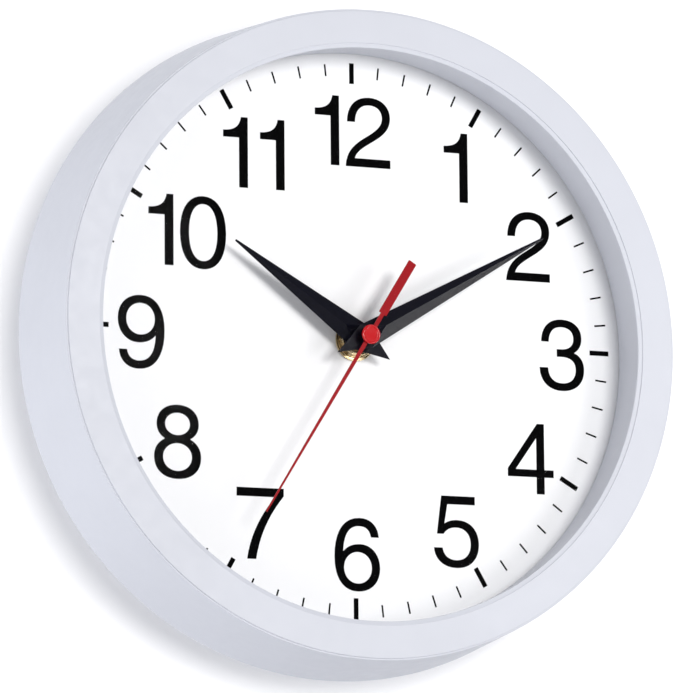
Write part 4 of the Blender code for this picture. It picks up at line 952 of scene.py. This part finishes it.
def make_back_plate(looks):
    """The ribbed back plate."""
    low, front = levels("back_plate")
    back = front - PLATE_SHEET
    hole = half_width("threaded_bushing") + GAP
    half_rib = RIB_HALF_WIDTH
    crest = half_rib - RIB_DRAFT
    profile = [(hole, front), (PLATE_RADIUS, front), (PLATE_RADIUS, back)]
    radii = [0, EDGE_ROUND, EDGE_ROUND]
    for radius in RIB_RADII:
        profile += [(radius + half_rib, back), (radius + crest, low), (radius - crest, low),
                    (radius - half_rib, back)]
        radii += [EDGE_ROUND, EDGE_ROUND / 2, EDGE_ROUND / 2, EDGE_ROUND]
    profile.append((hole, back))
    radii.append(0)
    meshes = [lathe_mesh("plate", rounded(profile, radii), CASE_SIDES, closed=True)]
    outer, inner = RIB_RADII
    outline = rectangle(inner, outer, -half_rib, half_rib)
    for k in range(SPOKES):
        rib = bevelled(flat_mesh("rib", [outline], low + half_rib, front - half_rib / 2), EDGE_ROUND / 2)
        meshes.append(moved(rib, Matrix.Rotation(math.tau * k / SPOKES, 4, "Z")))
    piece("ribbed_plate", joined("ribbed_plate", meshes), looks["white"],
          replaces=["back_plate"])


def make_screws(looks):
    """Pan-head screws with a cross recess."""
    low, high = levels("back_screw_1")
    head = half_width("back_screw_1")
    head_front = low + SCREW_HEAD_HEIGHT
    shank = SCREW_SHANK_RADIUS
    dome = arc(head * SCREW_DOME_RADIUS, 0, 50, 8)
    rise = dome[-1][1]
    profile = [(0, high), (shank, high - 2 * shank), (shank, head_front), (head, head_front)]
    for x, y in dome:
        level = head_front - SCREW_EDGE_HEIGHT - (y / rise) * SCREW_DOME_HEIGHT
        profile.append((max(0.0, x - head * SCREW_DOME_SHIFT), level))
    profile.append((0, low))
    body = lathe_mesh("screw", profile, SMALL_SIDES)
    half = CROSS_HALF_WIDTH
    reach = head * CROSS_REACH
    quarter = ((reach, -half * CROSS_TAPER), (reach, half * CROSS_TAPER), (half, half))
    cross = []
    for k in range(4):
        turn = Matrix.Rotation(math.radians(90 * k), 2)
        cross += [tuple(turn @ Vector(corner)) for corner in quarter]
    body = with_tool(body, flat_mesh("recess", [cross], low - CUT, low + CROSS_DEPTH), "DIFFERENCE")
    for k in range(1, SCREWS + 1):
        node = f"back_screw_{k}"
        piece(f"screw_{k}", body.copy(), looks["steel"], replaces=[node], place=over(node),
              sharp=35)


def make_hanger(looks):
    """The bent steel hanger with rounded bends and a keyhole."""
    low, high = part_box("wall_hanger")
    half = (high[0] - low[0]) / 2
    bottom = drawn(low)[1]
    top = drawn(high)[1]
    back, front = levels("wall_hanger")
    sheet = HANGER_SHEET
    bend = drawn(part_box("movement_housing")[1])[1] + HANGER_BEND
    inner, outer = back + sheet / 2, front - sheet / 2
    path = [(bottom, outer), (bend, outer), (bend, inner), (top, inner)]
    path = rounded(path, HANGER_BEND_ROUND, closed=False)
    corners = [(side * half, y, z) for y, z in path for side in (-1, 1)]
    faces = [(2 * i, 2 * i + 1, 2 * i + 3, 2 * i + 2) for i in range(len(path) - 1)]
    mesh = modified(grid_mesh("hanger", corners, faces),
                    ("SOLIDIFY", {"thickness": sheet, "offset": 0, "use_even_offset": True}))
    slot = HOOK_SLOT_RADIUS
    bearing = drawn((0, 0, 0))[1]
    side = math.degrees(math.asin(slot / HOOK_HOLE_RADIUS))
    keyhole = arc(HOOK_HOLE_RADIUS, 90 + side, 450 - side, 40, (0.0, bearing - HOOK_HOLE_DROP))
    keyhole += arc(slot, 0, 180, 20, (0.0, bearing - slot))
    mesh = with_tool(mesh, flat_mesh("keyhole", [keyhole], back - CUT, back + 2 * CUT), "DIFFERENCE")
    hole = circle(half_width("threaded_bushing") + GAP)
    mesh = with_tool(mesh, flat_mesh("hole", [hole], front - 2 * CUT, front + CUT), "DIFFERENCE")
    radii = [HANGER_FOOT_CORNER, HANGER_FOOT_CORNER, HANGER_CORNER, HANGER_CORNER]
    keep = rounded(rectangle(-half, half, bottom, top), radii)
    mesh = with_tool(mesh, flat_mesh("outline", [keep], back - CUT, front + CUT), "INTERSECT")
    piece("hanger_strip", bevelled(mesh, HANGER_EDGE, 2, 40), looks["steel"],
          replaces=["wall_hanger"], sharp=35)


def make_battery(looks):
    """The cell in its printed sleeve."""
    low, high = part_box("battery")
    radius = (high[2] - low[2]) / 2
    middle = (Vector(low) + Vector(high)) / 2
    start, end = low[0], high[0]
    shoulder = end - NUB_LENGTH
    nub = NUB_RADIUS
    sleeve = SLEEVE_SHEET
    edge, bottom, depth = CELL_END
    profile = [(0, end), (nub, end), (nub, shoulder), (radius - sleeve, shoulder), (radius - sleeve, start),
               (radius * edge, start), (radius * bottom, start + depth), (0, start + depth)]
    sideways = Matrix.Translation((0, *drawn(middle)[1:3])) @ Matrix.Rotation(math.radians(90), 4, "Y")
    mesh = lathe_mesh("cell", rounded(profile, CELL_ROUND, closed=False))
    piece("battery_cell", mesh, looks["steel"], replaces=["battery"], place=sideways, sharp=50)
    cuff = SLEEVE_CUFF
    under, inside = radius - sleeve, radius - cuff
    profile = [(under, shoulder - sleeve), (inside, shoulder + sleeve), (inside, shoulder + 2 * sleeve),
               (under, shoulder + 2 * sleeve), (radius, shoulder - cuff), (radius, start + cuff),
               (inside, start), (under, start + cuff)]
    mesh = lathe_mesh("sleeve", profile, closed=True)
    piece("battery_sleeve", mesh, looks["label"], place=sideways, sharp=50)


def make_knob(looks):
    """The grooved hand-setting knob, flush in the movement's back, with a moulded turning mark."""
    low = levels("setting_knob")[0]
    radius = half_width("setting_knob")
    outline = []
    for k in range(KNOB_GRIPS):
        step = 360 / KNOB_GRIPS
        outline += arc(radius, k * step, (k + 0.55) * step, 2)
        outline += arc(radius * KNOB_GROOVE, (k + 0.68) * step, (k + 0.87) * step, 1)
    disc = bevelled(flat_mesh("knob", [outline], low, low + KNOB_HEIGHT), KNOB_EDGE, 2, 25)
    share, half = KNOB_SLOT
    across = radius * share
    slot = rounded(rectangle(-across, across, -half, half), KNOB_SLOT_ROUND)
    disc = with_tool(disc, flat_mesh("knob_slot", [slot], low - CUT, low + KNOB_SLOT_DEPTH), "DIFFERENCE")
    shaft, start, end = KNOB_SHAFT
    meshes = [disc, lathe_mesh("knob_shaft", rectangle(0, shaft, low + start, end))]
    piece("knob_disc", joined("knob_disc", meshes), looks["black"], "knob",
          ["setting_knob"], over("setting_knob"), 30)


def make_housing_marks(looks):
    """Raised polarity signs above the battery and a turning arrow round the knob."""
    back = levels("movement_housing")[0]
    low = back - MARK_RISE
    cell = drawn(centre("battery"))
    across = half_width("battery") - SIGN_INSET
    cell_low, cell_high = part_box("battery")
    high = cell[1] + (cell_high[2] - cell_low[2]) / 2 + SIGN_INSET
    thin, arm = SIGN_BAR
    meshes = []
    for x, bars in ((across, ((arm, thin), (thin, arm))), (-across, ((arm, thin),))):
        for wide, tall in bars:
            outline = rectangle(x - wide, x + wide, high - tall, high + tall)
            meshes.append(flat_mesh("sign", [outline], low, back))
    middle = drawn(centre("setting_knob"))[:2]
    first, last = ARROW_TURN
    outline = arc(ARROW_RADIUS + thin, first, last, SMALL_SIDES, middle)
    outline += reversed(arc(ARROW_RADIUS - thin, first, last, SMALL_SIDES, middle))
    meshes.append(flat_mesh("arrow", [outline], low, back))
    turn = math.degrees(2 * arm / ARROW_RADIUS)
    points = ((ARROW_RADIUS + arm, last), (ARROW_RADIUS, last + turn), (ARROW_RADIUS - arm, last))
    head = [arc(radius, angle, angle, 1, middle)[0] for radius, angle in points]
    meshes.append(flat_mesh("arrow_head", [head], low, back))
    piece("housing_marks", joined("housing_marks", meshes), looks["black"])


# ---- CAD nodes that stay

def dress(node, look, bevel=0.0):
    """A material on a CAD node that stays, and fine rounding of its edges."""
    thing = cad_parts[node]
    thing.data.materials.clear()
    thing.data.materials.append(look)
    if bevel:
        edge = thing.modifiers.new("Edges", "BEVEL")
        edge.width = bevel
        edge.segments = 2
        edge.limit_method = "ANGLE"
        edge.angle_limit = math.radians(50)
        weigh_normals(thing)


def dress_cad(looks):
    kept = {
        "black": ["movement_housing", "movement_cover", "circuit_chip"],
        "natural": ["gear_plate", "coil_bobbin", "rotor_pinion", "intermediate_wheel", "second_wheel",
                    "third_wheel", "minute_wheel", "motion_wheel", "hour_wheel"],
        "steel": ["quartz_crystal", "second_arbor", "battery_contact_positive", "battery_contact_negative"],
        "iron": ["stator", "coil_core"],
        "magnet": ["rotor_magnet"],
        "copper": ["coil_winding"],
        "board": ["circuit_board"],
    }
    edges = {"movement_housing": 0.0002, "movement_cover": 0.00015}
    for look, nodes in kept.items():
        for node in nodes:
            dress(node, looks[look], edges.get(node, 0.0))


# ---- wall, floor, light and camera

WALL_SIZE = 6.0
WALL_SHADE = 0.93
WALL_GLOW = 0.03
WALL_BEHIND = 0.0004
FLOOR_DROP = 1.6
FLOOR_SHADE = 0.70


def stage_plane(name, corners, look):
    mesh = grid_mesh(name, corners, [(0, 1, 2, 3)])
    mesh.materials.append(look)
    thing = linked(name, mesh)
    return thing


def pale_paint(name, shade, one_sided):
    """Matt white paint. A one-sided wall lets a view from behind it through."""
    look = Look(name, (shade, shade, shade * 1.01), 0.9)
    look.bump(look.noise(0.002, 2.0), 0.00002)
    if one_sided:
        tree = look.tree
        geometry = tree.nodes.new("ShaderNodeNewGeometry")
        clear = tree.nodes.new("ShaderNodeBsdfTransparent")
        mix = tree.nodes.new("ShaderNodeMixShader")
        look.link(geometry.outputs["Backfacing"], mix.inputs[0])
        look.link(look.shader.outputs[0], mix.inputs[1])
        look.link(clear.outputs[0], mix.inputs[2])
        look.link(mix.outputs[0], tree.nodes["Material Output"].inputs["Surface"])
        look.set("Emission Color", (1, 1, 1, 1))
        look.set("Emission Strength", WALL_GLOW)
    return look.material


def make_stage():
    half = WALL_SIZE / 2
    wall = stage_plane(
        "wall",
        [(-half, WALL_BEHIND, -FLOOR_DROP), (half, WALL_BEHIND, -FLOOR_DROP), (half, WALL_BEHIND, half),
         (-half, WALL_BEHIND, half)],
        pale_paint("wall_paint", WALL_SHADE, True))
    wall.visible_shadow = False
    wall.visible_diffuse = False
    wall.visible_glossy = False
    floor = stage_plane(
        "floor",
        [(-half, -half, -FLOOR_DROP), (half, -half, -FLOOR_DROP), (half, half, -FLOOR_DROP),
         (-half, half, -FLOOR_DROP)],
        pale_paint("floor_paint", FLOOR_SHADE, False))
    floor.visible_shadow = False


def aim(thing, target):
    """Points a light at a target."""
    thing.rotation_euler = (Vector(target) - thing.location).to_track_quat("-Z", "Y").to_euler()


def area_light(name, place, size, power, colour=(1, 1, 1)):
    data = bpy.data.lights.new(name, "AREA")
    data.shape = "DISK"
    data.size = size
    data.energy = power
    data.color = colour
    thing = bpy.data.objects.new(name, data)
    thing.location = place
    bpy.context.scene.collection.objects.link(thing)
    aim(thing, (0, 0, AXIS_HEIGHT))
    return thing


SKY_FRONT = 0.44             # brightness of the room in front of the wall and behind it
SKY_REAR = 1.30
SKY_LOW = 0.22               # and towards the floor in front of it
SKY_RISE = (-0.7, 0.3)       # where the low sky turns into the front one, as parts of a direction
SKY_TURN = (-0.2, 0.1)       # and the front into the rear
SKY_COLOUR = (0.965, 0.975, 1.01, 1)
# Each light's azimuth, elevation, distance from the dial, size, power and colour
LIGHTS = {
    "key": (9.0, 9.0, 1.20, 0.38, 8.4, (1.0, 0.99, 0.975)),
    "panel": (36.0, -5.0, 0.82, 0.34, 2.0, (1.0, 0.99, 0.975)),
    "left": (-60.0, -4.0, 2.00, 1.20, 4.5, (1.0, 1.0, 1.0)),
    "side": (-88.0, -30.0, 1.40, 1.00, 8.8, (1.0, 1.0, 1.0)),
}


def away_from_dial(azimuth, elevation, distance):
    """A place seen from the middle of the dial, with azimuth from straight in front round to the right."""
    turn, tilt = math.radians(azimuth), math.radians(elevation)
    direction = Vector((math.sin(turn) * math.cos(tilt), -math.cos(turn) * math.cos(tilt), math.sin(tilt)))
    return Vector((0, -DIAL_FRONT, AXIS_HEIGHT)) + direction * distance


def make_light():
    world = bpy.data.worlds.new("studio")
    bpy.context.scene.world = world
    world.use_nodes = True
    tree = world.node_tree
    background = tree.nodes["Background"]
    background.inputs["Color"].default_value = SKY_COLOUR
    direction = tree.nodes.new("ShaderNodeTexCoord").outputs["Generated"]
    parts = tree.nodes.new("ShaderNodeSeparateXYZ")
    tree.links.new(direction, parts.inputs[0])
    front = map_range(tree, parts.outputs["Z"], *SKY_RISE, SKY_LOW, SKY_FRONT)
    strength = map_range(tree, parts.outputs["Y"], *SKY_TURN, front, SKY_REAR)
    tree.links.new(strength, background.inputs["Strength"])
    for name, (azimuth, elevation, distance, size, power, colour) in LIGHTS.items():
        area_light(name, away_from_dial(azimuth, elevation, distance), size, power, colour)


# The camera's place, seen from the dial, and where it looks
CAMERA_AZIMUTH = -22.80
CAMERA_ELEVATION = -9.31
CAMERA_DISTANCE = 1.9141
LOOK_AZIMUTH = 22.630
LOOK_ELEVATION = 9.248
CAMERA_ROLL = -0.481
CAMERA_LENS = 263.6
CAMERA_SENSOR = 36.0


def make_camera():
    data = bpy.data.cameras.new("camera")
    data.lens = CAMERA_LENS
    data.sensor_width = CAMERA_SENSOR
    data.sensor_height = CAMERA_SENSOR
    camera = linked("camera", data)
    camera.location = away_from_dial(CAMERA_AZIMUTH, CAMERA_ELEVATION, CAMERA_DISTANCE)
    turn = Matrix.Rotation(-math.radians(LOOK_AZIMUTH), 3, "Z")
    tilt = Matrix.Rotation(math.radians(90 + LOOK_ELEVATION), 3, "X")
    roll = Matrix.Rotation(math.radians(CAMERA_ROLL), 3, "Z")
    camera.rotation_euler = (turn @ tilt @ roll).to_euler()
    bpy.context.scene.camera = camera
    bpy.context.scene.view_settings.view_transform = "Standard"


# ---- the whole clock

def main():
    looks = make_looks()
    for make in (make_case, make_lens, make_dial, make_numbers, make_marks):
        make(looks)
    for name, node, body, shape in (("hour_pointer", "hour_hand", "hour", HOUR_HAND),
                                    ("minute_pointer", "minute_hand", "minute", MINUTE_HAND)):
        make_ridged_hand(name, node, looks["hand_black"], body, shape)
    for make in (make_second_hand, make_hardware, make_back_plate, make_screws, make_hanger, make_battery,
                 make_knob, make_housing_marks, dress_cad):
        make(looks)
    make_stage()
    make_light()
    make_camera()


main()
